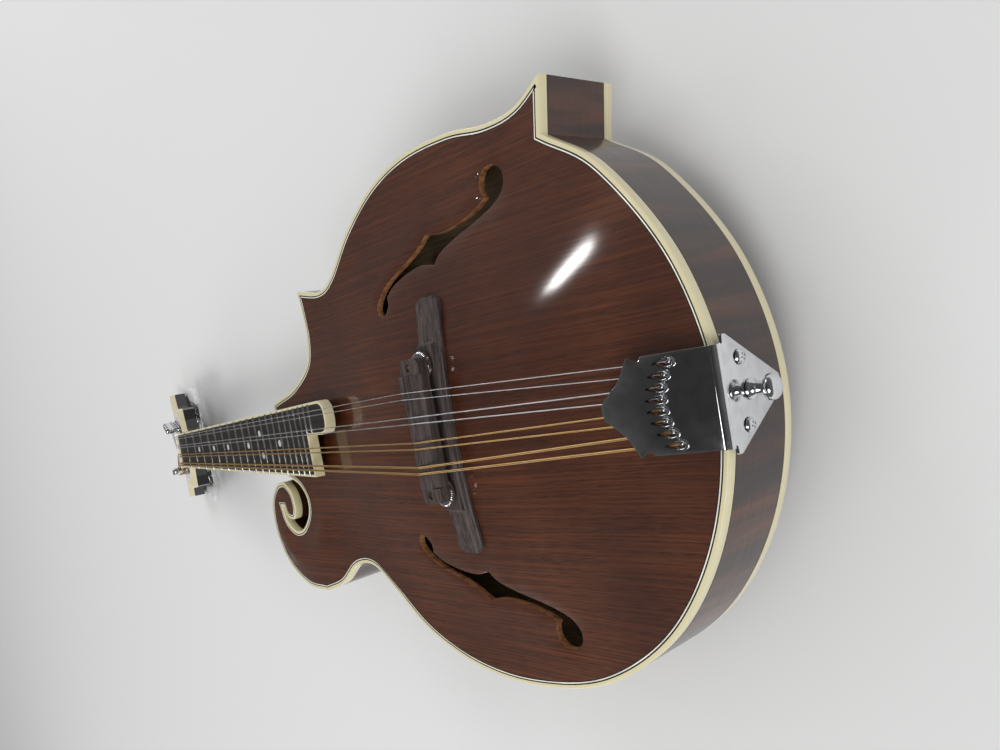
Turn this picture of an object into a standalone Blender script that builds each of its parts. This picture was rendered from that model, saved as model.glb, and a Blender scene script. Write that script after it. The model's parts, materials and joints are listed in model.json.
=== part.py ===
"""Eight-string mandola with a scroll and two points, lying on its back.

All sizes are in millimetres and become metres where a mesh is made.
In the body frame, +Y runs from the bridge to the headstock, +X is the treble
side, and z = 0 is the plane of the front edge of the rim. The bridge's
string line is at y = 0.
"""

import math

import bmesh
import bpy
from mathutils import Matrix, Vector
from mathutils.geometry import delaunay_2d_cdt

MM = 0.001
WELD = 1e-7

# Clearance between neighbouring pieces
GAP = 0.3

# Body
RIM_DEPTH = 50.4
BINDING_HEIGHT = 5.8
BINDING_WIDTH = 2.0
RIB_THICKNESS = 2.2
TOP_ARCH = 12.5
BACK_ARCH = 13.0
ARCH_CENTRE_Y = -3.0
ARCH_HALF_WIDTH = 133.0
ARCH_TAIL_LENGTH = 155.0
ARCH_HEAD_LENGTH = 165.0
BODY_END_Y = 198.0
LINING_WIDTH = 6.0
LINING_HEIGHT = 8.0
HEAD_BLOCK_Y = 168.0
TAIL_BLOCK_Y = -146.0
TAIL_BLOCK_HALF_WIDTH = 34.0
UPPER_BLOCK_REACH = 27.0
HORN_BLOCK_REACH = 22.0
BAR_SPACING = 34.0
BAR_WIDTH = 7.0
BAR_HEIGHT = 6.0
BAR_END_TAPER = 0.7
BAR_HALF_LENGTH = 112.0

# Stretches of the outline, clockwise seen from the front, each between two corners
NECK_CORNER_TREBLE = (27.0, BODY_END_Y)
NECK_CORNER_BASS = (-25.0, BODY_END_Y)
UPPER_POINT = (95.8, 137.2)
HORN_TIP = (148.0, -98.6)
HORN_CORNER = (123.6, -93.6)
UPPER_POINT_AXIS = (1.0, 1.0)
HORN_AXIS = (24.0, -16.5)
SHOULDER = [NECK_CORNER_TREBLE, (29.2, 190.0), (35.2, 166.0), (48.5, 142.5), (64.0, 135.6), (81.0, 135.6),
            UPPER_POINT]
TREBLE_SIDE = [UPPER_POINT, (91.2, 112.0), (97.1, 94.8), (118.5, 69.0), (135.9, 37.4), (143.9, 4.3),
               (143.6, -32.0), (138.9, -59.0), (139.6, -80.0), HORN_TIP]
LOWER_BOUT = [HORN_CORNER, (101.2, -123.6), (54.9, -153.6), (0.0, -164.9), (-54.9, -153.6), (-101.2, -123.6),
              (-130.8, -78.8), (-140.6, -28.1), (-137.2, 17.6), (-122.1, 57.6), (-98.6, 87.4), (-84.6, 107.0),
              (-86.0, 127.4), (-99.4, 148.3), (-106.6, 172.0)]
SCROLL_OUTSIDE = [(-106.6, 172.0), (-104.2, 197.1), (-89.4, 220.5), (-66.2, 231.4), (-44.4, 229.5),
                  (-31.2, 217.6), (-29.2, 206.0)]
SCROLL_BUTTON = [(-29.2, 206.0), (-36.3, 198.0), (-47.6, 195.6), (-56.2, 200.2), (-54.6, 209.6),
                 (-47.4, 212.6)]
SCROLL_SLIT = [(-47.4, 214.8), (-58.0, 211.6), (-64.8, 201.4), (-62.8, 189.4), (-52.6, 178.6), (-41.4, 176.6),
               (-31.6, 183.4), NECK_CORNER_BASS]
CURVE_STEP = 12.5
SCROLL_STEP = 6.5

# Sound holes, as drawn on the treble side
F_HOLE = [(120.0, -60.6), (116.4, -65.4), (111.0, -66.6), (105.6, -63.6), (101.2, -56.6), (96.8, -44.0),
          (92.2, -27.6), (87.6, -16.0), (82.8, -11.0), (84.8, 0.6), (82.6, 15.0), (78.6, 27.4), (74.2, 33.6),
          (69.4, 33.0), (65.2, 36.4), (64.4, 41.0), (68.4, 44.6), (73.4, 42.6), (79.6, 35.6), (84.0, 26.4),
          (88.4, 14.4), (93.0, 4.0), (99.4, -5.6), (97.6, -17.0), (98.8, -30.6), (102.4, -44.6), (106.4, -52.4),
          (110.6, -50.2), (116.4, -51.0), (119.8, -55.2)]
BASS_F_HOLE_SHIFT = 3.5

# Neck and fingerboard
SCALE_LENGTH = 422.0
NECK_ANGLE = math.radians(5.6)
NUT_Y = 420.0
BOARD_THICKNESS = 6.5
NUT_WIDTH = 31.5
WIDTH_AT_FRET_19 = 47.1
BOARD_END = 288.6
EXTENSION_LENGTH = 30.0
EXTENSION_EDGE_X = 3.4
EXTENSION_CORNER = 8.0
CORNER_ANGLES = (0, 30, 60, 90)
BOARD_BINDING = 1.6
FRET_COUNT = 21
FRET_WIDTH = 1.8
FRET_HEIGHT = 1.0
FRET_BEVEL = 0.2
NUT_THICKNESS = 5.0
HEEL_STATIONS = ((0.3, 45.0), (5.0, 43.0), (10.5, 35.0), (17.0, 26.0), (26.0, 20.5), (42.0, 17.4),
                 (110.0, 15.8), (185.0, 14.6), (214.0, 14.6))
RISER_LENGTH = 52.0
RISER_INSET = 1.0
RISER_OVERLAP = 3.0
NECK_RING_POINTS = 12
NECK_ROUNDNESS = 0.8
TONGUE_HALF_WIDTH = 14.5
TONGUE_REACH = 3.0
TONGUE_INSET = 0.4

# Headstock, in its own plane: x across, s away from the nut
HEADSTOCK_TILT = math.radians(13.4)
HEADSTOCK_DROP = 6.2
HEADSTOCK_THICKNESS = 13.0
VENEER_THICKNESS = 2.0
HEADSTOCK_BINDING_WIDTH = 1.8
HEADSTOCK_BINDING_HEIGHT = 5.0
HEADSTOCK_SIDE = [(16.4, 0.6), (19.0, 7.0), (27.0, 15.0), (36.6, 20.6), (38.4, 26.0), (35.6, 34.0),
                  (32.8, 50.0), (32.0, 72.0), (33.4, 94.0), (38.0, 112.0), (47.0, 124.0), (55.5, 134.0),
                  (54.5, 142.0), (45.0, 145.0), (32.0, 140.0), (16.0, 134.0), (0.0, 132.0)]
HEADSTOCK_STEP = 10.0
COVER_OUTLINE = [(-9.5, 8.0), (-8.0, 14.0), (-5.5, 22.0), (0.0, 30.0), (5.5, 22.0), (8.0, 14.0), (9.5, 8.0)]
COVER_THICKNESS = 1.4
TRUSS_ROD_RADIUS = 2.4
TRUSS_ROD_LENGTH = 186.0

# Tuners, on a plate for each side
TUNERS_PER_SIDE = 4
POST_SPACING = 23.0
FIRST_POST_S = 30.0
FIRST_POST_X = 19.5
PLATE_SPLAY = math.radians(4.0)
TUNER_PLATE_WIDTH = 12.0
TUNER_PLATE_END = 10.0
TUNER_PLATE_CORNER = 0.6
TUNER_PLATE_THICKNESS = 1.2
POST_RADIUS = 3.0
POST_HEIGHT = 13.0
GEAR_TEETH = 14
GEAR_RADIUS = 4.4
TOOTH_DEPTH = 0.8
GEAR_THICKNESS = 2.6
GEAR_LIFT = 1.0
KEY_SIDES = 8
WORM_RADIUS = 1.9
WORM_LENGTH = 7.0
SHAFT_PAST_WORM = 2.0
SHAFT_RADIUS = 1.3
BUTTON_START = 20.5
BUTTON_LENGTH = 15.0
BUTTON_WIDTH = 16.0
BUTTON_THICKNESS = 6.5
BUTTON_SHAPE = ((0.0, 0.55, 0.8), (0.25, 0.9, 1.0), (0.8, 1.0, 0.95), (1.0, 0.7, 0.6))

# Strings, treble to bass
STRING_RADII = (0.2, 0.2, 0.28, 0.28, 0.4, 0.4, 0.6, 0.6)
SADDLE_X = (20.98, 17.67, 8.16, 4.92, -4.92, -8.16, -17.67, -20.98)
SADDLE_LINE_Y = (2.1, 2.5, -1.8, -1.4, -2.1, -1.7, -1.8, -1.0)
NUT_X = (13.2, 11.2, 5.1, 3.1, -3.1, -5.1, -11.2, -13.2)
STRING_HEIGHT_AT_SADDLE = 30.3
STRING_HEIGHT_AT_NUT = 1.7
BOARD_BELOW_SADDLE_LINE = 3.1686
BOARD_Z_AT_NUT = STRING_HEIGHT_AT_SADDLE - BOARD_BELOW_SADDLE_LINE - NUT_Y * math.tan(NECK_ANGLE)
HOOK_X = (16.5, 11.6, 6.9, 2.3, -2.3, -6.9, -11.6, -16.5)
STRING_SIDES = 5
WINDING_LOOPS = 2
WINDING_LOOP_POINTS = 12
WINDING_SPACING = 0.45
WINDING_START = 2.6
WINDING_RISE = 0.6

# Bridge
BRIDGE_HALF_LENGTH = 67.5
BRIDGE_STATIONS = (1.0, 0.9, 0.77, 0.66, 0.62, 0.4, 0.2, 0.0)
BRIDGE_TAIL_Y = -15.0
BRIDGE_HEAD_Y = 2.0
BRIDGE_BLOCK_TAIL_Y = -11.0
BRIDGE_BLOCK_HALF_LENGTH = 43.0
BRIDGE_BASE_TOP = 16.0
BRIDGE_FOOT_THICKNESS = 2.4
BRIDGE_END_THICKNESS = 3.6
BRIDGE_POST_X = 33.0
BRIDGE_POST_Y = -4.0
BRIDGE_POST_RADIUS = 1.6
THREAD_CLEARANCE = 0.3
BRIDGE_POST_TOP = 27.0
WHEEL_RADIUS = 7.5
WHEEL_THICKNESS = 2.6
WHEEL_LIFT = 1.6
SADDLE_HALF_LENGTH = 37.4
SADDLE_EAR_LENGTH = 8.0
SADDLE_EAR_TOP = 27.8
SADDLE_CROWN_TOP = 29.3
SADDLE_SHOULDER_DROP = 0.9
SADDLE_TAIL_Y = -11.0
SADDLE_TOP_TAIL_Y = -5.4
SADDLE_HEAD_Y = 3.2

# Tailpiece
TAIL_COVER_ANGLE = math.radians(12.4)
TAIL_COVER_Z = 7.0
TAIL_COVER_THICKNESS = 2.5
TAIL_COVER_HALF_WIDTH = 20.3
COVER_FRONT = [(20.3, 29.5), (18.2, 31.2), (20.8, 35.5), (16.3, 38.1), (12.2, 40.4), (7.4, 45.3), (3.4, 49.5),
               (0.0, 50.2)]
TAIL_COVER_OVERHANG = 1.8
HOOK_ARC_Y = 25.6
HOOK_ARC_BEND = 0.021
HOOK_REACH = 2.0
HOOK_DEPTH = 0.8
HOOK_WINDOW_LENGTH = 9.0
HOOK_WINDOW_WIDTH = 3.4
HOOK_BAR_DROP = 4.2
HOOK_BAR_WIDTH = 2.4
HOOK_BAR_REACH = 0.94
BRACKET_THICKNESS = 1.5
BRACKET_TOP_HALF_WIDTH = 20.0
BRACKET_HALF_WIDTH = 23.7
BRACKET_SHOULDER_Z = -1.5
BRACKET_APEX_Z = -40.5
BRACKET_SCREW_X = 13.6
BRACKET_SCREW_Z = -12.0
END_PIN_Z = -16.5
SCREW_RADIUS = 1.4
SCREW_HEAD_RADIUS = 3.2
SCREW_HEAD_HEIGHT = 1.7
SCREW_DOME = ((1.0, 0.0), (0.85, 0.6), (0.4, 1.0))
END_PIN_SHANK = 3.0
END_PIN_PROFILE = ((4.4, 0.3), (4.4, 1.6), (2.9, 3.4), (2.9, 6.6), (5.3, 8.4), (5.3, 10.6), (3.8, 12.6))

# Colours, as red, green, blue, with roughness and metallic value
SPRUCE = ((0.16, 0.045, 0.016), 0.25, 0.0)
MAPLE = ((0.09, 0.025, 0.01), 0.25, 0.0)
BARE_WOOD = ((0.62, 0.46, 0.27), 0.7, 0.0)
BLACK = ((0.01, 0.01, 0.011), 0.25, 0.0)
EBONY = ((0.035, 0.028, 0.026), 0.5, 0.0)
IVOROID = ((0.8, 0.74, 0.47), 0.35, 0.0)
PEARL = ((0.78, 0.78, 0.8), 0.2, 0.0)
BONE = ((0.85, 0.82, 0.72), 0.4, 0.0)
CHROME = ((0.75, 0.76, 0.78), 0.08, 1.0)
STEEL = ((0.55, 0.55, 0.56), 0.25, 1.0)
BRONZE = ((0.72, 0.5, 0.26), 0.25, 1.0)
BRASS = ((0.66, 0.55, 0.3), 0.3, 1.0)


# Flat geometry

def curve_through(points, step):
    """Points along a smooth curve through the given ones, about a step apart."""
    curve = []
    for index in range(len(points) - 1):
        start, end = Vector(points[index]), Vector(points[index + 1])
        before = Vector(points[index - 1]) if index else start * 2 - end
        after = Vector(points[index + 2]) if index + 2 < len(points) else end * 2 - start
        count = max(1, round((end - start).length / step))
        for part in range(count):
            t = part / count
            curve.append(0.5 * (
                2 * start
                + (end - before) * t
                + (2 * before - 5 * start + 4 * end - after) * t**2
                + (3 * start - before - 3 * end + after) * t**3
            ))
    return curve


def offset(points, distance, closed=True):
    """A path moved to the right of its direction of travel, with mitred corners."""
    moved = []
    count = len(points)
    for index, point in enumerate(points):
        before = points[index - 1] if closed or index else point * 2 - points[1]
        after = points[(index + 1) % count] if closed or index < count - 1 else point * 2 - points[index - 1]
        one = (point - before).normalized()
        two = (after - point).normalized()
        right_one = Vector((one.y, -one.x))
        right_two = Vector((two.y, -two.x))
        share = max(0.25, 1 + right_one.dot(right_two))
        moved.append(point + (right_one + right_two) * (distance / share))
    return moved


def clip(points, keep):
    """The part of a polygon where keep(point) is positive, for a straight edge."""
    kept = []
    for index, point in enumerate(points):
        before = points[index - 1]
        side, side_before = keep(point), keep(before)
        if side * side_before < 0:
            kept.append(before.lerp(point, side_before / (side_before - side)))
        if side >= 0:
            kept.append(point)
    return kept


def inside(point, polygon):
    crossings = False
    for index, one in enumerate(polygon):
        two = polygon[index - 1]
        if (one.y > point.y) != (two.y > point.y):
            x = two.x + (point.y - two.y) / (one.y - two.y) * (one.x - two.x)
            if point.x < x:
                crossings = not crossings
    return crossings


def circle(radius, sides, centre=(0.0, 0.0)):
    return [
        Vector((
            centre[0] + radius * math.cos(math.tau * side / sides),
            centre[1] + radius * math.sin(math.tau * side / sides),
        ))
        for side in range(sides)
    ]


def mirrored(points):
    return [Vector((-point[0], point[1])) for point in reversed(points)]


# Solids, each as a list of points and a list of faces

def loft(rings, closed=False):
    """A skin through rings of equally many points, capped unless it closes on itself."""
    size = len(rings[0])
    points = [Vector(point) for ring in rings for point in ring]
    faces = []
    last = len(rings) if closed else len(rings) - 1
    for index in range(last):
        here, there = index * size, (index + 1) % len(rings) * size
        for side in range(size):
            other = (side + 1) % size
            faces.append((here + side, here + other, there + other, there + side))
    if not closed:
        faces.append(tuple(range(size)))
        faces.append(tuple(range(len(points) - size, len(points))))
    return points, faces


def prism(outline, low, high):
    return loft([[(x, y, low) for x, y in outline], [(x, y, high) for x, y in outline]])


def band(one, two, low, high, closed=True):
    """A strip between two paths, from one height to another."""
    rings = [
        [(a.x, a.y, low), (a.x, a.y, high), (b.x, b.y, high), (b.x, b.y, low)]
        for a, b in zip(one, two)
    ]
    return loft(rings, closed)


def box(low, high):
    corners = [(low[0], low[1]), (high[0], low[1]), (high[0], high[1]), (low[0], high[1])]
    return prism(corners, low[2], high[2])


def turned(profile, sides, axis="z"):
    """A solid of revolution from (radius, height) pairs, with flat ends."""
    rings = [[(x, y, height) for x, y in circle(radius, sides)] for radius, height in profile]
    return swap_axis(loft(rings), axis)


def turned_ring(profile, sides):
    """A solid of revolution from a closed loop of (radius, height) pairs."""
    rings = []
    for side in range(sides):
        angle = math.tau * side / sides
        rings.append([(r * math.cos(angle), r * math.sin(angle), height) for r, height in profile])
    return loft(rings, closed=True)


def swap_axis(solid, axis):
    """Turns a solid made along +Z to lie along +Y or -Y."""
    turns = {
        "z": Matrix.Identity(3),
        "y": Matrix.Rotation(math.radians(-90), 3, "X"),
        "-y": Matrix.Rotation(math.radians(90), 3, "X"),
    }
    return [turns[axis] @ point for point in solid[0]], solid[1]


def moved(solid, by):
    return [point + Vector(by) for point in solid[0]], solid[1]


def placed(solid, matrix):
    return [matrix @ point for point in solid[0]], solid[1]


def together(*solids):
    """Separate solids as one list of points and faces."""
    points, faces = [], []
    for solid_points, solid_faces in solids:
        first = len(points)
        points.extend(solid_points)
        faces.extend(tuple(first + index for index in face) for face in solid_faces)
    return points, faces


def triangles_in(outline, holes, extra=()):
    """Flat points and triangles that fill an outline but not its holes."""
    loops = [[Vector((point[0], point[1])) for point in loop] for loop in (outline, *holes)]
    points, edges = [], []
    for loop in loops:
        first = len(points)
        points.extend(loop)
        edges.extend((first + index, first + (index + 1) % len(loop)) for index in range(len(loop)))
    points.extend(Vector(point) for point in extra)
    spread, _, triangles, _, _, _ = delaunay_2d_cdt(points, edges, [], 0, 1e-4)
    kept = []
    for triangle in triangles:
        middle = sum((spread[index] for index in triangle), Vector((0, 0))) / len(triangle)
        if inside(middle, loops[0]) and not any(inside(middle, hole) for hole in loops[1:]):
            kept.append(tuple(triangle))
    return spread, kept


def sheet(outline, holes, top, bottom, extra=()):
    """A plate over a flat outline with holes, between two height functions of x and y."""
    spread, kept = triangles_in(outline, holes, extra)
    used = {edge for face in kept for edge in zip(face, face[1:] + face[:1])}
    rim = sorted(edge for edge in used if (edge[1], edge[0]) not in used)
    count = len(spread)
    above = [Vector((x, y, top(x, y))) for x, y in spread]
    below = [Vector((x, y, bottom(x, y))) for x, y in spread]
    faces = list(kept)
    faces.extend(tuple(count + index for index in reversed(face)) for face in kept)
    faces.extend((one, count + one, count + two, two) for one, two in rim)
    return above + below, faces


def flat(height):
    return lambda x, y: height


def stepped(outline, low, shelf, neck, high):
    """A plate with an upright column on it, as one solid."""
    pieces = []
    for loops, height in (((outline,), low), ((outline, neck), shelf), ((neck,), high)):
        spread, kept = triangles_in(loops[0], loops[1:])
        pieces.append(([Vector((x, y, height)) for x, y in spread], kept))
    for loop, bottom, top in ((outline, low, shelf), (neck, shelf, high)):
        skin, faces = prism(loop, bottom, top)
        pieces.append((skin, faces[:-2]))
    return together(*pieces)


# Objects

def material(name, look):
    colour, roughness, metallic = look
    made = bpy.data.materials.new(name)
    made.use_nodes = True
    shader = made.node_tree.nodes["Principled BSDF"]
    shader.inputs["Base Color"].default_value = (*colour, 1.0)
    shader.inputs["Roughness"].default_value = roughness
    shader.inputs["Metallic"].default_value = metallic
    return made


def frame(name, parent=None, place=(0.0, 0.0, 0.0), turn=0.0, spin=0.0):
    """An empty that carries pieces, turned about X or about Z."""
    empty = bpy.data.objects.new(name, None)
    bpy.context.scene.collection.objects.link(empty)
    empty.parent = parent
    empty.location = Vector(place) * MM
    empty.rotation_euler = (turn, 0.0, spin)
    return empty


def piece(name, solid, look, parent, place=(0.0, 0.0, 0.0), smooth_angle=35.0):
    """A named object with its own material, from a solid in millimetres."""
    mesh = bpy.data.meshes.new(name)
    mesh.from_pydata([point * MM for point in solid[0]], [], solid[1])
    shape = bmesh.new()
    shape.from_mesh(mesh)
    loose = [vert for vert in shape.verts if not vert.link_faces]
    bmesh.ops.delete(shape, geom=loose, context="VERTS")
    bmesh.ops.remove_doubles(shape, verts=shape.verts, dist=WELD)
    bmesh.ops.recalc_face_normals(shape, faces=shape.faces)
    shape.to_mesh(mesh)
    shape.free()
    mesh.shade_smooth()
    mesh.set_sharp_from_angle(angle=math.radians(smooth_angle))
    made = bpy.data.objects.new(name, mesh)
    bpy.context.scene.collection.objects.link(made)
    made.data.materials.append(material(name, look))
    made.parent = parent
    made.location = Vector(place) * MM
    return made


def boolean(target, operation, solid, parent, name):
    """Joins or cuts a piece with a hidden solid."""
    tool = piece(f"{target.name}_{name}", solid, BLACK, parent)
    tool.hide_render = True
    tool.display_type = "WIRE"
    modifier = target.modifiers.new(name, "BOOLEAN")
    modifier.operation = operation
    modifier.solver = "EXACT"
    modifier.object = tool


# Body

def body_outline():
    """The rim's outline, clockwise from the front, starting at the treble side of the neck."""
    outline = curve_through(SHOULDER, CURVE_STEP)
    outline += curve_through(TREBLE_SIDE, CURVE_STEP)
    outline += [Vector(HORN_TIP)]
    outline += curve_through(LOWER_BOUT, CURVE_STEP)
    outline += curve_through(SCROLL_OUTSIDE, SCROLL_STEP)
    outline += curve_through(SCROLL_BUTTON, SCROLL_STEP)
    outline += [Vector(SCROLL_BUTTON[-1])]
    outline += curve_through(SCROLL_SLIT, SCROLL_STEP)
    outline += [Vector(NECK_CORNER_BASS)]
    return outline


def arch_share(x, y):
    """Height of the arch as a share of its height at the centre."""
    length = ARCH_TAIL_LENGTH if y < ARCH_CENTRE_Y else ARCH_HEAD_LENGTH
    square = (x / ARCH_HALF_WIDTH) ** 2 + ((y - ARCH_CENTRE_Y) / length) ** 2
    return max(0.0, 1.0 - square) ** 2


def top_surface(x, y):
    return TOP_ARCH * arch_share(x, y)


def arch_points(outline, holes):
    """Points on rings of equal height, where the arch needs them."""
    points = [(0.0, ARCH_CENTRE_Y)]
    for share, count in ((0.22, 8), (0.42, 14), (0.6, 18), (0.75, 22), (0.88, 26), (0.99, 28)):
        for index in range(count):
            angle = math.tau * index / count
            length = ARCH_TAIL_LENGTH if math.sin(angle) < 0 else ARCH_HEAD_LENGTH
            point = Vector((
                share * ARCH_HALF_WIDTH * math.cos(angle),
                ARCH_CENTRE_Y + share * length * math.sin(angle),
            ))
            rims = [outline, *holes]
            clear = min((point - other).length for rim in rims for other in rim)
            if inside(point, outline) and clear > 5.0:
                points.append(point)
    return points


def f_holes():
    treble = [Vector(point) for point in F_HOLE]
    bass = [Vector((BASS_F_HOLE_SHIFT - point[0], point[1])) for point in reversed(F_HOLE)]
    return [treble, bass]


def make_plates(outline, root):
    edge = offset(outline, BINDING_WIDTH + GAP)
    holes = f_holes()
    top = sheet(
        edge, holes, top_surface, lambda x, y: top_surface(x, y) - BINDING_HEIGHT, arch_points(edge, holes)
    )
    piece("soundboard", top, SPRUCE, root, smooth_angle=40.0)
    back_inside = lambda x, y: BINDING_HEIGHT - RIM_DEPTH - BACK_ARCH * arch_share(x, y)
    back_outside = lambda x, y: -RIM_DEPTH - BACK_ARCH * arch_share(x, y)
    back = sheet(edge, [], back_inside, back_outside, arch_points(edge, []))
    piece("back_plate", back, MAPLE, root, smooth_angle=40.0)


def make_rim(outline, root):
    inner = offset(outline, BINDING_WIDTH)
    piece("top_binding", band(outline, inner, -BINDING_HEIGHT, 0.0), IVOROID, root)
    back = band(outline, inner, -RIM_DEPTH, BINDING_HEIGHT - RIM_DEPTH)
    piece("back_binding", back, IVOROID, root)
    low = BINDING_HEIGHT + GAP - RIM_DEPTH
    ribs = band(outline, offset(outline, RIB_THICKNESS), low, -BINDING_HEIGHT - GAP)
    piece("ribs", ribs, MAPLE, root)


def past(corner, towards, reach):
    """Positive beyond a straight cut, square to a direction, that lies short of a corner."""
    direction = Vector(towards).normalized()
    level = Vector(corner).dot(direction) - reach
    return lambda point: point.dot(direction) - level


def make_blocks(outline, root):
    """The inner blocks that hold the rim together, and the linings that run between their faces."""
    low, high = BINDING_HEIGHT + GAP - RIM_DEPTH, -BINDING_HEIGHT - GAP
    room = offset(outline, RIB_THICKNESS + GAP)
    cuts = {
        "head_block": lambda p: p.y - HEAD_BLOCK_Y,
        "tail_block": lambda p: TAIL_BLOCK_Y - p.y,
        "upper_point_block": past(UPPER_POINT, UPPER_POINT_AXIS, UPPER_BLOCK_REACH),
        "horn_block": past(HORN_TIP, HORN_AXIS, HORN_BLOCK_REACH),
    }
    body_only = clip(room, lambda p: HEAD_BLOCK_Y - p.y)
    hollow = room
    for name, beyond in cuts.items():
        block = clip(room if name == "head_block" else body_only, beyond)
        if name == "tail_block":
            block = clip(block, lambda p: p.x + TAIL_BLOCK_HALF_WIDTH)
            block = clip(block, lambda p: TAIL_BLOCK_HALF_WIDTH - p.x)
        piece(name, prism(block, low, high), BARE_WOOD, root)
        hollow = clip(hollow, lambda p, beyond=beyond: -beyond(p) - GAP)
    inner = offset(hollow, LINING_WIDTH)
    piece("front_lining", band(hollow, inner, high - LINING_HEIGHT, high), BARE_WOOD, root)
    piece("back_lining", band(hollow, inner, low, low + LINING_HEIGHT), BARE_WOOD, root)


def make_tone_bars(root):
    """Two bars along the inside of the front, fitted to its arch."""
    stations = 9
    for name, side in (("tone_bar_bass", -1), ("tone_bar_treble", 1)):
        rings = []
        for index in range(stations):
            y = ARCH_CENTRE_Y + BAR_HALF_LENGTH * (2 * index / (stations - 1) - 1)
            x = side * BAR_SPACING
            edges = (x - BAR_WIDTH / 2, x + BAR_WIDTH / 2)
            seat = min(top_surface(edge, y) for edge in edges) - BINDING_HEIGHT - GAP
            taper = BAR_HEIGHT * (1 - BAR_END_TAPER * (2 * index / (stations - 1) - 1) ** 4)
            low = seat - taper
            rings.append([(edges[0], y, seat), (edges[1], y, seat), (edges[1], y, low), (edges[0], y, low)])
        piece(name, loft(rings), BARE_WOOD, root)


# Neck and fingerboard

def board_z(y):
    """Height of the fingerboard's surface in the body frame."""
    return BOARD_Z_AT_NUT + math.tan(NECK_ANGLE) * (NUT_Y - y)


def board_half_width(along):
    """Half the fingerboard's width at a distance from the nut."""
    fret_19 = SCALE_LENGTH * (1 - 2 ** (-19 / 12))
    return (NUT_WIDTH + (WIDTH_AT_FRET_19 - NUT_WIDTH) * along / fret_19) / 2


def neck_matrix():
    """From the neck's frame to the body's, in millimetres."""
    place = Matrix.Translation((0.0, NUT_Y, BOARD_Z_AT_NUT))
    return place @ Matrix.Rotation(-NECK_ANGLE, 4, "X")


def headstock_matrix():
    """From the headstock's frame to the neck's, in millimetres."""
    place = Matrix.Translation((0.0, NUT_THICKNESS, -HEADSTOCK_DROP))
    return place @ Matrix.Rotation(-HEADSTOCK_TILT, 4, "X")


def headstock_outline():
    side = curve_through(HEADSTOCK_SIDE, HEADSTOCK_STEP) + [Vector(HEADSTOCK_SIDE[-1])]
    return list(reversed(side + mirrored(side[:-1])))


def tuner_places():
    """Each post's place in the headstock's frame, with its side, nearest the nut first."""
    places = []
    for side in (1, -1):
        for index in range(TUNERS_PER_SIDE):
            along = index * POST_SPACING
            x = FIRST_POST_X + along * math.sin(PLATE_SPLAY)
            places.append((side, Vector((side * x, FIRST_POST_S + along * math.cos(PLATE_SPLAY)))))
    return places


def make_neck(root):
    """The neck with its heel, the riser under the extension and the headstock, as one piece of wood."""
    rings = []
    seat = (BOARD_THICKNESS + GAP) / math.cos(NECK_ANGLE)
    end = NUT_Y + (NUT_THICKNESS - 0.5) * math.cos(NECK_ANGLE) - BODY_END_Y
    for along, depth in (*HEEL_STATIONS, (end, HEEL_STATIONS[-1][1])):
        y = BODY_END_Y + along
        half = board_half_width((NUT_Y - y) / math.cos(NECK_ANGLE))
        ring = []
        for index in range(NECK_RING_POINTS):
            angle = math.pi * index / (NECK_RING_POINTS - 1)
            x = half * math.copysign(abs(math.cos(angle)) ** NECK_ROUNDNESS, math.cos(angle))
            drop = depth * max(0.0, math.sin(angle)) ** NECK_ROUNDNESS
            ring.append((x, y, board_z(y) - seat - drop))
        rings.append(ring)
    neck = piece("neck", loft(rings), MAPLE, root)

    rings = []
    face = BODY_END_Y + HEEL_STATIONS[0][0]
    stations = [(face + RISER_OVERLAP, -RISER_OVERLAP), (face + 0.02, -RISER_OVERLAP)]
    for index in range(5):
        y = face - RISER_LENGTH * index / 4
        stations.append((y, top_surface(0.0, y) + GAP))
    for y, low in stations:
        half = board_half_width((NUT_Y - y) / math.cos(NECK_ANGLE)) - RISER_INSET
        high = board_z(y) - seat - 0.05
        rings.append([(-half, y, low), (half, y, low), (half, y, high), (-half, y, high)])
    boolean(neck, "UNION", loft(rings), root, "riser")

    to_body = neck_matrix() @ headstock_matrix()
    front = -VENEER_THICKNESS - GAP
    outline = headstock_outline()
    holes = [circle(POST_RADIUS + GAP, 8, place) for _, place in tuner_places()]
    blank = sheet(outline, holes, flat(front), flat(front - HEADSTOCK_THICKNESS))
    boolean(neck, "UNION", placed(blank, to_body), root, "headstock")
    tongue = box(
        (-TONGUE_HALF_WIDTH, -TONGUE_REACH, front - HEADSTOCK_THICKNESS + TONGUE_INSET),
        (TONGUE_HALF_WIDTH, TONGUE_REACH, front - TONGUE_INSET),
    )
    boolean(neck, "UNION", placed(tongue, to_body), root, "tongue")
    inner = offset(outline, HEADSTOCK_BINDING_WIDTH + GAP)
    rebate = band(offset(outline, -TONGUE_REACH), inner, -HEADSTOCK_BINDING_HEIGHT - GAP, GAP)
    boolean(neck, "DIFFERENCE", placed(rebate, to_body), root, "rebate")
    reach = TRUSS_ROD_RADIUS + GAP
    slot = box(
        (-reach, -TRUSS_ROD_LENGTH - GAP, -BOARD_THICKNESS - GAP - 2 * reach),
        (reach, -1.0, -BOARD_THICKNESS + 1.0),
    )
    boolean(neck, "DIFFERENCE", placed(slot, neck_matrix()), root, "rod_slot")


def extension_end():
    return BOARD_END + EXTENSION_LENGTH


def corner_cut(along, end, radius):
    """How far a rounded corner has drawn in from the side at a distance along."""
    into = along - (end - radius)
    return 0.0 if into <= 0 else radius - math.sqrt(max(0.0, radius**2 - into**2))


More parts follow.
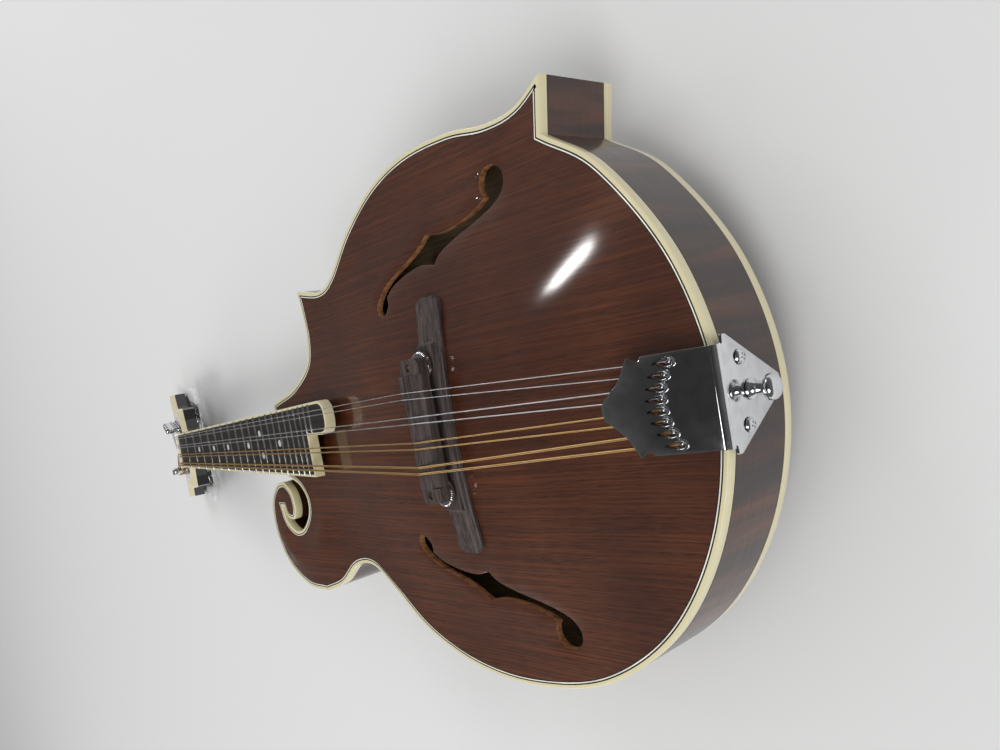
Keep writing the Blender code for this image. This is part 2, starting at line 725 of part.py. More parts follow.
def make_fingerboard(neck_frame):
    """The board with its frets, its binding and the nut, in the neck's frame with y away from the body."""
    inset = BOARD_BINDING + GAP
    bass_end = BOARD_END - inset
    end = extension_end() - inset
    radius = EXTENSION_CORNER - inset
    stations = [(GAP, 0.0)]
    for fret in range(1, FRET_COUNT + 1):
        place = SCALE_LENGTH * (1 - 2 ** (-fret / 12))
        half = FRET_WIDTH / 2
        stations += [
            (place - half, 0.0), (place - half + FRET_BEVEL, FRET_HEIGHT),
            (place + half - FRET_BEVEL, FRET_HEIGHT), (place + half, 0.0),
        ]
    stations += [(bass_end - 0.05, 0.0), (bass_end + 0.05, 0.0)]
    stations += [(end - radius * (1 - math.sin(math.radians(angle))), 0.0) for angle in CORNER_ANGLES]
    rings = []
    for along, top in sorted(stations):
        cut = corner_cut(along, end, radius)
        right = board_half_width(along) - inset - cut
        left = -right if along < bass_end else EXTENSION_EDGE_X + inset + cut
        rings.append([
            (left, -along, -BOARD_THICKNESS), (right, -along, -BOARD_THICKNESS),
            (right, -along, top), (left, -along, top),
        ])
    piece("fingerboard", loft(rings), EBONY, neck_frame)

    end = extension_end()
    path = [
        (-board_half_width(GAP), -GAP),
        (-board_half_width(BOARD_END), -BOARD_END),
        (EXTENSION_EDGE_X, -BOARD_END),
    ]
    angles = [math.radians(angle) for angle in CORNER_ANGLES]
    for angle in angles:
        along = end - EXTENSION_CORNER * (1 - math.sin(angle))
        path.append((EXTENSION_EDGE_X + EXTENSION_CORNER * (1 - math.cos(angle)), -along))
    for angle in reversed(angles):
        along = end - EXTENSION_CORNER * (1 - math.sin(angle))
        path.append((board_half_width(along) - EXTENSION_CORNER * (1 - math.cos(angle)), -along))
    path.append((board_half_width(GAP), -GAP))
    path = [Vector(point) for point in path]
    strip = band(path, offset(path, -BOARD_BINDING, closed=False), -BOARD_THICKNESS, 0.0, closed=False)
    piece("fingerboard_binding", strip, IVOROID, neck_frame)
    half = NUT_WIDTH / 2
    rise = STRING_HEIGHT_AT_NUT - max(STRING_RADII) - GAP
    piece("nut", box((-half, 0.0, -BOARD_THICKNESS), (half, NUT_THICKNESS, rise)), BONE, neck_frame)


def make_truss_rod(neck_frame):
    rod = turned([(TRUSS_ROD_RADIUS, 0.0), (TRUSS_ROD_RADIUS, TRUSS_ROD_LENGTH - 3.0)], 8, "y")
    depth = BOARD_THICKNESS + GAP + TRUSS_ROD_RADIUS + GAP
    piece("truss_rod", rod, STEEL, neck_frame, (0.0, -TRUSS_ROD_LENGTH, -depth))


def make_headstock(headstock_frame):
    """The black face, its binding and the cover over the rod."""
    outline = headstock_outline()
    inner = offset(outline, HEADSTOCK_BINDING_WIDTH)
    piece("headstock_binding", band(outline, inner, -HEADSTOCK_BINDING_HEIGHT, 0.0), IVOROID, headstock_frame)
    holes = [circle(POST_RADIUS + GAP, 8, place) for _, place in tuner_places()]
    face = sheet(offset(outline, HEADSTOCK_BINDING_WIDTH + GAP), holes, flat(0.0), flat(-VENEER_THICKNESS))
    piece("headstock_veneer", face, BLACK, headstock_frame)
    cover = prism(COVER_OUTLINE, GAP, GAP + COVER_THICKNESS)
    piece("truss_rod_cover", cover, BLACK, headstock_frame)


# Tuners

def gear_outline():
    return [
        Vector((radius * math.cos(angle), radius * math.sin(angle)))
        for tooth in range(GEAR_TEETH)
        for radius, angle in (
            (GEAR_RADIUS, math.tau * tooth / GEAR_TEETH),
            (GEAR_RADIUS - TOOTH_DEPTH, math.tau * (tooth + 0.5) / GEAR_TEETH),
        )
    ]


def gear_plane():
    """Depth of the gears' middle below the headstock's face."""
    back = VENEER_THICKNESS + GAP + HEADSTOCK_THICKNESS
    return -(back + GAP + TUNER_PLATE_THICKNESS + GEAR_LIFT + GEAR_THICKNESS / 2)


def tuner_key():
    """A worm on its shaft with the button at the end, along +X from the post's axis."""
    half = WORM_LENGTH / 2
    turns = [
        (-half - SHAFT_PAST_WORM, SHAFT_RADIUS), (-half, SHAFT_RADIUS), (-half, WORM_RADIUS),
        (half, WORM_RADIUS), (half, SHAFT_RADIUS), (BUTTON_START, SHAFT_RADIUS),
    ]
    rings = [[(along, a, b) for a, b in circle(radius, KEY_SIDES)] for along, radius in turns]
    for along, across, thick in BUTTON_SHAPE:
        x = BUTTON_START + BUTTON_LENGTH * along
        wide, deep = BUTTON_WIDTH / 2 * across, BUTTON_THICKNESS / 2 * thick
        rings.append([(x, wide * a, deep * b) for a, b in circle(1.0, KEY_SIDES)])
    return loft(rings)


def make_tuners(headstock_frame):
    """For each side a plate, and four posts with gears turned by worms on the button shafts."""
    post = stepped(
        gear_outline(), gear_plane() - GEAR_THICKNESS / 2, gear_plane() + GEAR_THICKNESS / 2,
        circle(POST_RADIUS, 8), POST_HEIGHT,
    )
    key = tuner_key()
    back = -(VENEER_THICKNESS + GAP + HEADSTOCK_THICKNESS + GAP)
    half = TUNER_PLATE_WIDTH / 2
    reach = (TUNERS_PER_SIDE - 1) * POST_SPACING + TUNER_PLATE_END
    holes = [circle(POST_RADIUS + GAP, 8, (0.0, index * POST_SPACING)) for index in range(TUNERS_PER_SIDE)]
    corner = half * TUNER_PLATE_CORNER
    rim = [
        (-half, -TUNER_PLATE_END), (-corner, -TUNER_PLATE_END - corner), (corner, -TUNER_PLATE_END - corner),
        (half, -TUNER_PLATE_END), (half, reach), (corner, reach + corner), (-corner, reach + corner),
        (-half, reach),
    ]
    plate = sheet(rim, holes, flat(back), flat(back - TUNER_PLATE_THICKNESS))
    for side, name in ((1, "treble"), (-1, "bass")):
        line = frame(
            f"tuner_line_{name}", headstock_frame, (side * FIRST_POST_X, FIRST_POST_S, 0.0),
            spin=-side * PLATE_SPLAY,
        )
        piece(f"tuner_plate_{name}", plate, CHROME, line)
        for index in range(TUNERS_PER_SIDE):
            along = index * POST_SPACING
            piece(f"string_post_{name}_{index + 1}", post, CHROME, line, (0.0, along, 0.0))
            worm_y = along - GEAR_RADIUS - WORM_RADIUS - GAP
            turned_key = key if side > 0 else placed(key, Matrix.Rotation(math.pi, 3, "Z"))
            piece(f"tuner_key_{name}_{index + 1}", turned_key, PEARL, line, (0.0, worm_y, gear_plane()))


# Strings

def cover_matrix():
    """From the tailpiece cover's frame to the body's, in millimetres."""
    place = Matrix.Translation((0.0, cover_y(), TAIL_COVER_Z))
    return place @ Matrix.Rotation(TAIL_COVER_ANGLE, 4, "X")


def cover_y():
    """The line where the cover bends down onto the rim."""
    return min(y for _, y in LOWER_BOUT) - GAP - BRACKET_THICKNESS


def hook_y(x):
    """The arc of string hooks along the cover."""
    return HOOK_ARC_Y - HOOK_ARC_BEND * x**2


def tube(path, radius, sides):
    """A round tube along a path, its rings carried along without twist."""
    rings = []
    across = None
    for index, point in enumerate(path):
        before = path[max(0, index - 1)]
        after = path[min(len(path) - 1, index + 1)]
        along = (after - before).normalized()
        if across is None:
            across = along.cross(Vector((1.0, 0.0, 0.0)))
        across = (across - along * across.dot(along)).normalized()
        other = along.cross(across)
        rings.append([point + across * x + other * y for x, y in circle(radius, sides)])
    return loft(rings)


def winding(post, side, radius, start):
    """The string's loops round its post, from the top one down, in the headstock's frame."""
    reach = POST_RADIUS + GAP + radius
    pitch = 2 * radius + WINDING_SPACING
    top = start + WINDING_LOOPS * pitch
    points = []
    for index in range(WINDING_LOOPS * WINDING_LOOP_POINTS + 1):
        turn = index / WINDING_LOOP_POINTS
        angle = (math.pi - math.tau * turn) if side > 0 else math.tau * turn
        points.append(Vector((
            post.x + reach * math.cos(angle), post.y + reach * math.sin(angle), top - pitch * turn
        )))
    return points


def least_gap(points, loop_points, thickness):
    """The smallest clear distance from a coil to its own other loops."""
    least = min(
        (points[one] - points[two]).length
        for one in range(len(points))
        for two in range(one + loop_points // 2, len(points))
    )
    return least - thickness


def make_strings(root):
    """Eight strings from the hooks over the saddle and the nut, ending in loops round the posts."""
    to_body = neck_matrix()
    to_headstock = to_body @ headstock_matrix()
    places = tuner_places()
    names = ["treble_1", "treble_2", "treble_3", "treble_4", "bass_4", "bass_3", "bass_2", "bass_1"]
    treble_posts = [place for side, place in places if side > 0]
    bass_posts = [place for side, place in places if side < 0]
    posts = treble_posts + bass_posts[::-1]
    for index, name in enumerate(names):
        side = 1 if index < TUNERS_PER_SIDE else -1
        radius = STRING_RADII[index]
        hook_x = HOOK_X[index]
        start = WINDING_START + WINDING_RISE * min(index, len(names) - 1 - index)
        hook_z = -TAIL_COVER_THICKNESS - GAP - HOOK_DEPTH
        path = [
            cover_matrix() @ Vector((hook_x, hook_y(hook_x) - HOOK_REACH, hook_z)),
            Vector((SADDLE_X[index], SADDLE_LINE_Y[index], STRING_HEIGHT_AT_SADDLE)),
            to_body @ Vector((NUT_X[index], 0.4, STRING_HEIGHT_AT_NUT)),
            to_body @ Vector((NUT_X[index], NUT_THICKNESS - 0.4, STRING_HEIGHT_AT_NUT)),
        ]
        loops = [to_headstock @ point for point in winding(posts[index], side, radius, start)]
        gap = least_gap(loops, WINDING_LOOP_POINTS, 2 * radius)
        print(f"string_{name}: least gap in its loops {gap:.2f} mm")
        look = STEEL if side > 0 else BRONZE
        piece(f"string_{name}", tube(path + loops, radius, STRING_SIDES), look, root, smooth_angle=80.0)


# Bridge

def bridge_seat(x, y):
    return top_surface(x, y) + GAP


def make_bridge(root):
    """A fitted base, two threaded posts, two thumbwheels and the saddle that they carry."""
    rings = []
    for x in sorted({side * BRIDGE_HALF_LENGTH * reach for reach in BRIDGE_STATIONS for side in (-1, 1)}):
        seats = [bridge_seat(x, y) for y in (BRIDGE_TAIL_Y, BRIDGE_BLOCK_TAIL_Y, BRIDGE_HEAD_Y)]
        block = abs(x) < BRIDGE_BLOCK_HALF_LENGTH
        top = BRIDGE_BASE_TOP if block else max(seats) + BRIDGE_END_THICKNESS
        foot = seats[0] + BRIDGE_FOOT_THICKNESS
        rings.append([
            (x, BRIDGE_TAIL_Y, seats[0]), (x, BRIDGE_HEAD_Y, seats[2]), (x, BRIDGE_HEAD_Y, top),
            (x, BRIDGE_BLOCK_TAIL_Y, top), (x, BRIDGE_BLOCK_TAIL_Y - 0.2, foot + 0.2),
            (x, BRIDGE_TAIL_Y, foot),
        ])
    piece("bridge_base", loft(rings), EBONY, root)

    wheel_low = BRIDGE_BASE_TOP + WHEEL_LIFT
    saddle_low = wheel_low + WHEEL_THICKNESS + GAP
    ear = SADDLE_HALF_LENGTH - SADDLE_EAR_LENGTH
    stations = [(-SADDLE_HALF_LENGTH, SADDLE_EAR_TOP, 0.0), (-ear - 0.2, SADDLE_EAR_TOP, 0.0)]
    crown = SADDLE_CROWN_TOP
    stations += [(-ear, crown, SADDLE_LINE_Y[-1])]
    stations += [(x, crown, y) for x, y in zip(reversed(SADDLE_X), reversed(SADDLE_LINE_Y))]
    stations += [(ear, crown, SADDLE_LINE_Y[0]), (ear + 0.2, SADDLE_EAR_TOP, 0.0)]
    stations += [(SADDLE_HALF_LENGTH, SADDLE_EAR_TOP, 0.0)]
    rings = []
    for x, top, line in stations:
        shoulder = top - (SADDLE_SHOULDER_DROP if top == crown else 0.2)
        rings.append([
            (x, SADDLE_TAIL_Y, saddle_low), (x, SADDLE_HEAD_Y, saddle_low), (x, SADDLE_HEAD_Y, shoulder),
            (x, line, top), (x, SADDLE_TOP_TAIL_Y, shoulder),
        ])
    saddle = piece("bridge_saddle", loft(rings), EBONY, root)
    bore = BRIDGE_POST_RADIUS + THREAD_CLEARANCE
    hole = turned([(bore, saddle_low - 2.0), (bore, crown + 2.0)], 10)
    holes = [moved(hole, (side * BRIDGE_POST_X, BRIDGE_POST_Y, 0.0)) for side in (-1, 1)]
    boolean(saddle, "DIFFERENCE", together(*holes), root, "post_holes")

    edge = [(WHEEL_RADIUS, 0.0), (WHEEL_RADIUS, WHEEL_THICKNESS)]
    wheel = turned_ring([(bore, 0.0), *edge, (bore, WHEEL_THICKNESS)], 16)
    post_low = BRIDGE_BASE_TOP + GAP
    post = turned([(BRIDGE_POST_RADIUS, 0.0), (BRIDGE_POST_RADIUS, BRIDGE_POST_TOP - post_low)], 10)
    for side, name in ((1, "treble"), (-1, "bass")):
        place = (side * BRIDGE_POST_X, BRIDGE_POST_Y)
        piece(f"bridge_post_{name}", post, BRASS, root, (*place, post_low))
        piece(f"thumbwheel_{name}", wheel, CHROME, root, (*place, wheel_low))


# Tailpiece

def hook_window(x):
    """A teardrop window whose point looks along the string."""
    half, reach = HOOK_WINDOW_WIDTH / 2, HOOK_WINDOW_LENGTH / 2
    shape = ((0.0, 1.0), (0.75, 0.1), (1.0, -0.5), (0.55, -1.0), (-0.55, -1.0), (-1.0, -0.5), (-0.75, 0.1))
    return [Vector((x + half * a, hook_y(x) + reach * b)) for a, b in shape]


def make_tailpiece(root):
    """A cover with string hooks, on a bracket screwed to the rim, and the end pin through it."""
    cover_frame = frame("tailpiece_frame", root, (0.0, cover_y(), TAIL_COVER_Z), turn=TAIL_COVER_ANGLE)
    side = [(TAIL_COVER_HALF_WIDTH, -TAIL_COVER_OVERHANG), *COVER_FRONT]
    rim = [Vector(point) for point in side] + mirrored([point for point in side if point[0] > 0])
    cover = sheet(rim, [hook_window(x) for x in HOOK_X], flat(0.0), flat(-TAIL_COVER_THICKNESS))
    tail_cover = piece("tailpiece_cover", cover, CHROME, cover_frame)
    bar_x = [TAIL_COVER_HALF_WIDTH * (index / 4 - 1) * HOOK_BAR_REACH for index in range(9)]
    back = HOOK_REACH + GAP + max(STRING_RADII)
    front_line = [Vector((x, hook_y(x) - back)) for x in bar_x]
    back_line = [Vector((x, hook_y(x) - back - HOOK_BAR_WIDTH)) for x in bar_x]
    bar_low = -TAIL_COVER_THICKNESS - HOOK_BAR_DROP
    bar = band(front_line, back_line, bar_low, -TAIL_COVER_THICKNESS / 2, closed=False)
    boolean(tail_cover, "UNION", bar, cover_frame, "hook_bar")

    face = min(y for _, y in LOWER_BOUT) - GAP
    top = TAIL_COVER_Z - TAIL_COVER_THICKNESS - GAP
    right = [
        (BRACKET_TOP_HALF_WIDTH, top), (BRACKET_TOP_HALF_WIDTH, BRACKET_SHOULDER_Z),
        (BRACKET_HALF_WIDTH, BRACKET_SHOULDER_Z - 0.5), (BRACKET_HALF_WIDTH, BRACKET_SHOULDER_Z - 3.5),
        (3.0, BRACKET_APEX_Z),
    ]
    rim = [Vector(point) for point in right] + mirrored(right)
    holes = [
        circle(SCREW_RADIUS + GAP, 8, (-BRACKET_SCREW_X, BRACKET_SCREW_Z)),
        circle(SCREW_RADIUS + GAP, 8, (BRACKET_SCREW_X, BRACKET_SCREW_Z)),
        circle(END_PIN_SHANK + GAP, 10, (0.0, END_PIN_Z)),
    ]
    bracket = swap_axis(sheet(rim, holes, flat(BRACKET_THICKNESS), flat(0.0)), "-y")
    piece("tailpiece_bracket", bracket, CHROME, root, (0.0, face, 0.0))

    head = BRACKET_THICKNESS + GAP
    dome = [(SCREW_HEAD_RADIUS * wide, head + SCREW_HEAD_HEIGHT * high) for wide, high in SCREW_DOME]
    screw = turned([(SCREW_RADIUS, 0.1), (SCREW_RADIUS, head), *dome], 10, "-y")
    for name, x in (("treble", BRACKET_SCREW_X), ("bass", -BRACKET_SCREW_X)):
        piece(f"tailpiece_screw_{name}", screw, CHROME, root, (x, face, BRACKET_SCREW_Z))
    profile = [(END_PIN_SHANK, 0.1), (END_PIN_SHANK, head)]
    profile += [(radius, BRACKET_THICKNESS + height) for radius, height in END_PIN_PROFILE]
    piece("end_pin", turned(profile, 12, "-y"), CHROME, root, (0.0, face, END_PIN_Z))


def place_on_floor(root):
    """Puts the origin under the middle of the whole instrument's box."""
    bpy.context.view_layer.update()
    graph = bpy.context.evaluated_depsgraph_get()
    corners = []
    for made in bpy.data.objects:
        if made.type == "MESH" and not made.hide_render:
            evaluated = made.evaluated_get(graph)
            corners.extend(evaluated.matrix_world @ vert.co for vert in evaluated.data.vertices)
    low = [min(corner[axis] for corner in corners) for axis in range(3)]
    high = [max(corner[axis] for corner in corners) for axis in range(3)]
    root.location = (-(low[0] + high[0]) / 2, -(low[1] + high[1]) / 2, -low[2])


def main():
    for old in list(bpy.data.objects):
        bpy.data.objects.remove(old, do_unlink=True)
    root = frame("mandola")
    outline = body_outline()
    make_plates(outline, root)
    make_rim(outline, root)
    make_blocks(outline, root)
    make_tone_bars(root)
    make_neck(root)
    neck_frame = frame("neck_frame", root, (0.0, NUT_Y, BOARD_Z_AT_NUT), turn=-NECK_ANGLE)
    make_fingerboard(neck_frame)
    make_truss_rod(neck_frame)
    headstock_frame = frame(
        "headstock_frame", neck_frame, (0.0, NUT_THICKNESS, -HEADSTOCK_DROP), turn=-HEADSTOCK_TILT
    )
    make_headstock(headstock_frame)
    make_tuners(headstock_frame)
    make_strings(root)
    make_bridge(root)
    make_tailpiece(root)
    place_on_floor(root)


main()
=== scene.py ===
"""The mandola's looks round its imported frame: fine shapes, finishes, strings, camera and studio.

Sizes are in millimetres in the body frame of the part, where +Y runs to the headstock, +X is the
treble side and z = 0 is the plane of the rim's front edge. They become metres where a mesh is made.
"""
import json
import math

import bmesh
import bpy
from mathutils import Matrix, Vector
from mathutils.geometry import delaunay_2d_cdt


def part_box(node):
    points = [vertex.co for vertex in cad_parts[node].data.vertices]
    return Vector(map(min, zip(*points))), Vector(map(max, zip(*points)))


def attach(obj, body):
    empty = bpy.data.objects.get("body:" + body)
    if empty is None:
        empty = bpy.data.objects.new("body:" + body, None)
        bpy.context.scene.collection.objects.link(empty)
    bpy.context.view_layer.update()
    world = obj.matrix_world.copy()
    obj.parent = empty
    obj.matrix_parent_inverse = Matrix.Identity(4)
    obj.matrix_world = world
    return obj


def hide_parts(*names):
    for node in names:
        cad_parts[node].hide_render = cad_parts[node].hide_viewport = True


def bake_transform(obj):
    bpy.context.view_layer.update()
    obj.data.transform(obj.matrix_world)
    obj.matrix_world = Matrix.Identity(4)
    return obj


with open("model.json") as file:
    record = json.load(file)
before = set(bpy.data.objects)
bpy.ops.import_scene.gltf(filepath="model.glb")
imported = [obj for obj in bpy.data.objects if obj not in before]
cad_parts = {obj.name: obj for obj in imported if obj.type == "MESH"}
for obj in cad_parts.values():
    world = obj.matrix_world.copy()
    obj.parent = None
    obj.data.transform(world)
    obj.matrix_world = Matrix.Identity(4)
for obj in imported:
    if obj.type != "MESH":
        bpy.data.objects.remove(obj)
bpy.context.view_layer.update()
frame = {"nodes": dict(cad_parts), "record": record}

MM = 0.001
GAP = 0.3
SHARP_ANGLE = 40.0

# Body
RIM_DEPTH = 50.4
BINDING_HEIGHT = 5.8
BINDING_WIDTH = 2.0
BINDING_ROUND = 0.5
RIB_THICKNESS = 2.2
PURFLING = ((2.0, 2.7, "black"), (2.7, 3.3, "white"), (3.3, 3.7, "black"))
PLATE_EDGE = 3.75
TOP_ARCH = 12.5
BACK_ARCH = 13.0
ARCH_CENTRE_Y = -3.0
ARCH_HALF_WIDTH = 133.0
ARCH_TAIL_LENGTH = 155.0
ARCH_HEAD_LENGTH = 165.0
OUTLINE_STEP = 4.0
SCROLL_STEP = 2.0
PLATE_GRID = 7.0
GRID_CLEARANCE = 0.45
NECK_CORNER_TREBLE = (27.0, 198.0)
NECK_CORNER_BASS = (-25.0, 198.0)
UPPER_POINT = (95.8, 137.2)
HORN_TIP = (148.0, -98.6)
HORN_CORNER = (123.6, -93.6)
SHOULDER = [NECK_CORNER_TREBLE, (29.2, 190.0), (35.2, 166.0), (48.5, 142.5), (64.0, 135.6), (81.0, 135.6),
            UPPER_POINT]
TREBLE_SIDE = [UPPER_POINT, (91.2, 112.0), (97.1, 94.8), (118.5, 69.0), (135.9, 37.4), (143.9, 4.3),
               (143.6, -32.0), (138.9, -59.0), (139.6, -80.0), HORN_TIP]
LOWER_BOUT = [HORN_CORNER, (101.2, -123.6), (54.9, -153.6), (0.0, -164.9), (-54.9, -153.6), (-101.2, -123.6),
              (-130.8, -78.8), (-140.6, -28.1), (-137.2, 17.6), (-122.1, 57.6), (-98.6, 87.4), (-84.6, 107.0),
              (-86.0, 127.4), (-99.4, 148.3), (-106.6, 172.0)]
SCROLL_OUTSIDE = [(-106.6, 172.0), (-104.2, 197.1), (-89.4, 220.5), (-66.2, 231.4), (-44.4, 229.5),
                  (-31.2, 217.6), (-29.2, 206.0)]
SCROLL_BUTTON = [(-29.2, 206.0), (-36.3, 198.0), (-47.6, 195.6), (-56.2, 200.2), (-54.6, 209.6),
                 (-47.4, 212.6)]
SCROLL_SLIT = [(-47.4, 214.8), (-58.0, 211.6), (-64.8, 201.4), (-62.8, 189.4), (-52.6, 178.6), (-41.4, 176.6),
               (-31.6, 183.4), NECK_CORNER_BASS]

# Carving of the scroll: a crest along a line, fading into the body
CREST_LINE = [(-62.0, 148.0), (-76.0, 168.0), (-84.0, 190.0), (-76.0, 209.0), (-58.0, 219.0), (-44.0, 214.0)]
CREST_FROM = 138.0
CREST_HEIGHT = 3.2
CREST_WIDTH = 20.0
CREST_STEP = 5.0
CREST_RIM_CLEARANCE = 1.5
CREST_RIM_FADE = 9.0
CREST_START_FADE = 30.0

# Sound holes, as drawn on the treble side
F_HOLE = [(120.0, -60.6), (116.4, -65.4), (111.0, -66.6), (105.6, -63.6), (101.2, -56.6), (96.8, -44.0),
          (92.2, -27.6), (87.6, -16.0), (82.8, -11.0), (84.8, 0.6), (82.6, 15.0), (78.6, 27.4),
          (74.2, 33.6), (69.4, 33.0), (65.2, 36.4), (64.4, 41.0), (68.4, 44.6), (73.4, 42.6), (79.6, 35.6),
          (84.0, 26.4), (88.4, 14.4), (93.0, 4.0), (99.4, -5.6), (97.6, -17.0), (98.8, -30.6),
          (102.4, -44.6), (106.4, -52.4), (110.6, -50.2), (116.4, -51.0), (119.8, -55.2)]
F_HOLE_CORNERS = (8, 12, 22, 26)
BASS_F_HOLE_SHIFT = 3.5
F_HOLE_STEP = 1.6
F_HOLE_ROUND = 0.5
F_HOLE_THINNING = 1.9
F_HOLE_THIN_REACH = 8.0
F_HOLE_WALL_REACH = 2.0

# Neck, board and headstock
SCALE_LENGTH = 422.0
NECK_ANGLE = math.radians(5.6)
NUT_Y = 420.0
BOARD_Z_AT_NUT = -14.05
BOARD_THICKNESS = 6.5
NUT_WIDTH = 31.5
WIDTH_AT_FRET_19 = 47.1
BOARD_END = 288.6
EXTENSION_LENGTH = 30.0
EXTENSION_EDGE_X = 3.4
EXTENSION_CORNER = 8.0
BOARD_BINDING = 1.6
FRET_COUNT = 21
FIRST_SHORT_FRET = 20
FRET_INSET = 0.4
FRET_ENDS = ((0.0, 0.1), (0.35, 0.7), (0.9, 1.0))
FRET_CROWN = ((-0.6, 0.0), (-0.5, 0.5), (-0.25, 0.9), (0.0, 1.0), (0.25, 0.9), (0.5, 0.5), (0.6, 0.0))
DOT_FRETS = (3, 5, 7, 10, 15)
DOUBLE_DOT_FRET = 12
DOT_RADIUS = 2.4
DOT_RISE = 0.03
DOUBLE_DOT_X = 8.0
NUT_THICKNESS = 5.0
NUT_TOP = 1.9
NUT_CROWN = ((5.0, 1.2), (4.4, 0.4), (3.4, 0.0), (0.5, 0.0), (0.0, 0.5))
NUT_NOTCH = (0.5, 1.0)
NOTCH_STEPS = (-0.5, -0.25, 0.0, 0.25, 0.5)
HEADSTOCK_TILT = math.radians(13.4)
HEADSTOCK_DROP = 6.2
COVER_THICKNESS = 1.4
COVER_SCREWS = ((0.0, 25.5), (-6.2, 10.5), (6.2, 10.5))
COVER_SCREW_DOME = ((1.1, -0.2), (1.1, 0.15), (0.7, 0.45), (0.1, 0.5))

# Tuners, in the headstock's plane: x across, y away from the nut. Profiles are (radius, height) pairs.
TUNERS_PER_SIDE = 4
POST_SPACING = 23.0
FIRST_POST_S = 30.0
FIRST_POST_X = 19.5
PLATE_SPLAY = math.radians(4.0)
POST_RADIUS = 3.0
POST_PROFILE = ((2.2, -21.3), (2.2, -20.4), (3.0, -20.4), (3.0, 1.6), (3.0, 1.8), (2.7, 2.4), (2.6, 5.2),
                (2.7, 8.0), (3.0, 8.5), (3.0, 12.1), (2.7, 12.7), (2.1, 13.0))
BUSHING_SECTION = ((3.05, 0.0), (5.0, 0.0), (5.0, 0.5), (4.3, 1.1), (3.6, 1.3), (3.05, 1.3))
HEADSTOCK_BACK = -15.3
TUNER_PLATE_THICKNESS = 1.2
PLATE_SCREWS = (-11.5, 11.5, 34.5, 57.5, 80.5)
PLATE_SCREW_DOME = ((2.2, 0.0), (2.0, -0.7), (1.3, -1.2), (0.5, -1.4))
GEAR_Z = -19.1
GEAR_RADIUS = 4.4
GEAR_THICKNESS = 2.6
GEAR_TEETH = 14
GEAR_TOOTH = ((0.0, 0.82), (0.25, 0.86), (0.35, 1.0), (0.65, 1.0), (0.75, 0.86))
GEAR_SCREW = ((1.7, -22.0), (1.7, -21.5), (1.2, -21.3), (1.2, -20.3))
KEY_BESIDE_POST = 6.6
KEY_SHAFT = ((1.2, -5.5), (1.3, -3.5), (1.5, -3.4), (1.5, 3.4), (1.3, 3.5), (1.3, 9.6), (2.6, 9.8),
             (2.9, 10.4), (2.6, 11.0), (1.3, 11.3), (1.3, 18.2), (2.3, 18.5), (2.6, 19.4), (2.2, 20.3),
             (1.2, 20.5))
WORM_TURNS = 3.2
WORM_STEPS = 20
WORM_LENGTH = 6.0
THREAD_RADIUS = 1.55
THREAD_THICKNESS = 0.34
BUTTON_START = 20.5
BUTTON_LENGTH = 15.0
BUTTON_HALF_WIDTH = 8.0
BUTTON_HALF_THICKNESS = 3.25
BUTTON_CORNER = 0.62
BUTTON_SECTIONS = ((0.0, 0.34, 0.5), (0.08, 0.55, 0.78), (0.25, 0.86, 0.98), (0.5, 1.0, 1.0),
                   (0.75, 0.98, 0.95), (0.92, 0.84, 0.8), (1.0, 0.6, 0.5))

# Strings, treble to bass
STRING_NAMES = ("treble_1", "treble_2", "treble_3", "treble_4", "bass_4", "bass_3", "bass_2", "bass_1")
STRING_RADII = (0.2, 0.2, 0.28, 0.28, 0.4, 0.4, 0.6, 0.6)
SADDLE_X = (20.98, 17.67, 8.16, 4.92, -4.92, -8.16, -17.67, -20.98)
SADDLE_LINE_Y = (2.1, 2.5, -1.8, -1.4, -2.1, -1.7, -1.8, -1.0)
NUT_X = (13.2, 11.2, 5.1, 3.1, -3.1, -5.1, -11.2, -13.2)
STRING_HEIGHT_AT_SADDLE = 30.3
STRING_HEIGHT_AT_NUT = 1.7
HOOK_X = (16.5, 11.6, 6.9, 2.3, -2.3, -6.9, -11.6, -16.5)
WINDING_LOOPS = 2
WINDING_LOOP_POINTS = 24
WINDING_SPACING = 0.45
WINDING_START = 2.6
WINDING_RISE = 0.6
STRING_SIDES = 12
STRING_NUT_INSET = 0.4
STRING_END = (2.0, -3.6)

# Bridge. A draw says how much, over what length and how sharply the sides draw in at the ends.
BRIDGE_HALF_LENGTH = 67.5
BRIDGE_DRAW = (0.9, 3.0, 1.4)
SADDLE_DRAW = (0.8, 2.5, 1.3)
BRIDGE_STATIONS = (67.5, 67.1, 66.4, 65.4, 64.5, 60.0, 55.0, 50.0, 46.0, 44.8, 44.2, 43.6, 43.2, 43.0, 36.0,
                   27.0, 18.0, 9.0, 0.0)
BRIDGE_TAIL_Y = -15.0
BRIDGE_BLOCK_TAIL_Y = -11.0
BRIDGE_HEAD_Y = 2.0
BRIDGE_BLOCK_HALF_LENGTH = 43.0
BRIDGE_BASE_TOP = 16.0
BRIDGE_END_THICKNESS = 3.6
BRIDGE_FOOT_THICKNESS = 2.4
BRIDGE_STEP_RUN = 1.6
BRIDGE_POST_X = 33.0
BRIDGE_POST_Y = -4.0
BRIDGE_POST_TOP = 27.0
THREAD_PITCH = 0.7
THREAD_ROOT, THREAD_CREST = (1.3, 0.02), (1.6, 0.35)
WHEEL_RADIUS = 7.5
WHEEL_THICKNESS = 2.6
WHEEL_Z = 17.6
WHEEL_TEETH = 44
WHEEL_KNURL = 0.32
SADDLE_LOW = 20.5
SADDLE_HALF_LENGTH = 37.4
SADDLE_EAR_START = 29.4
SADDLE_EAR_TOP = 27.8
SADDLE_CROWN_TOP = 29.3
SADDLE_TAIL_Y = -11.0
SADDLE_TOP_TAIL_Y = -5.4
SADDLE_HEAD_Y = 3.2
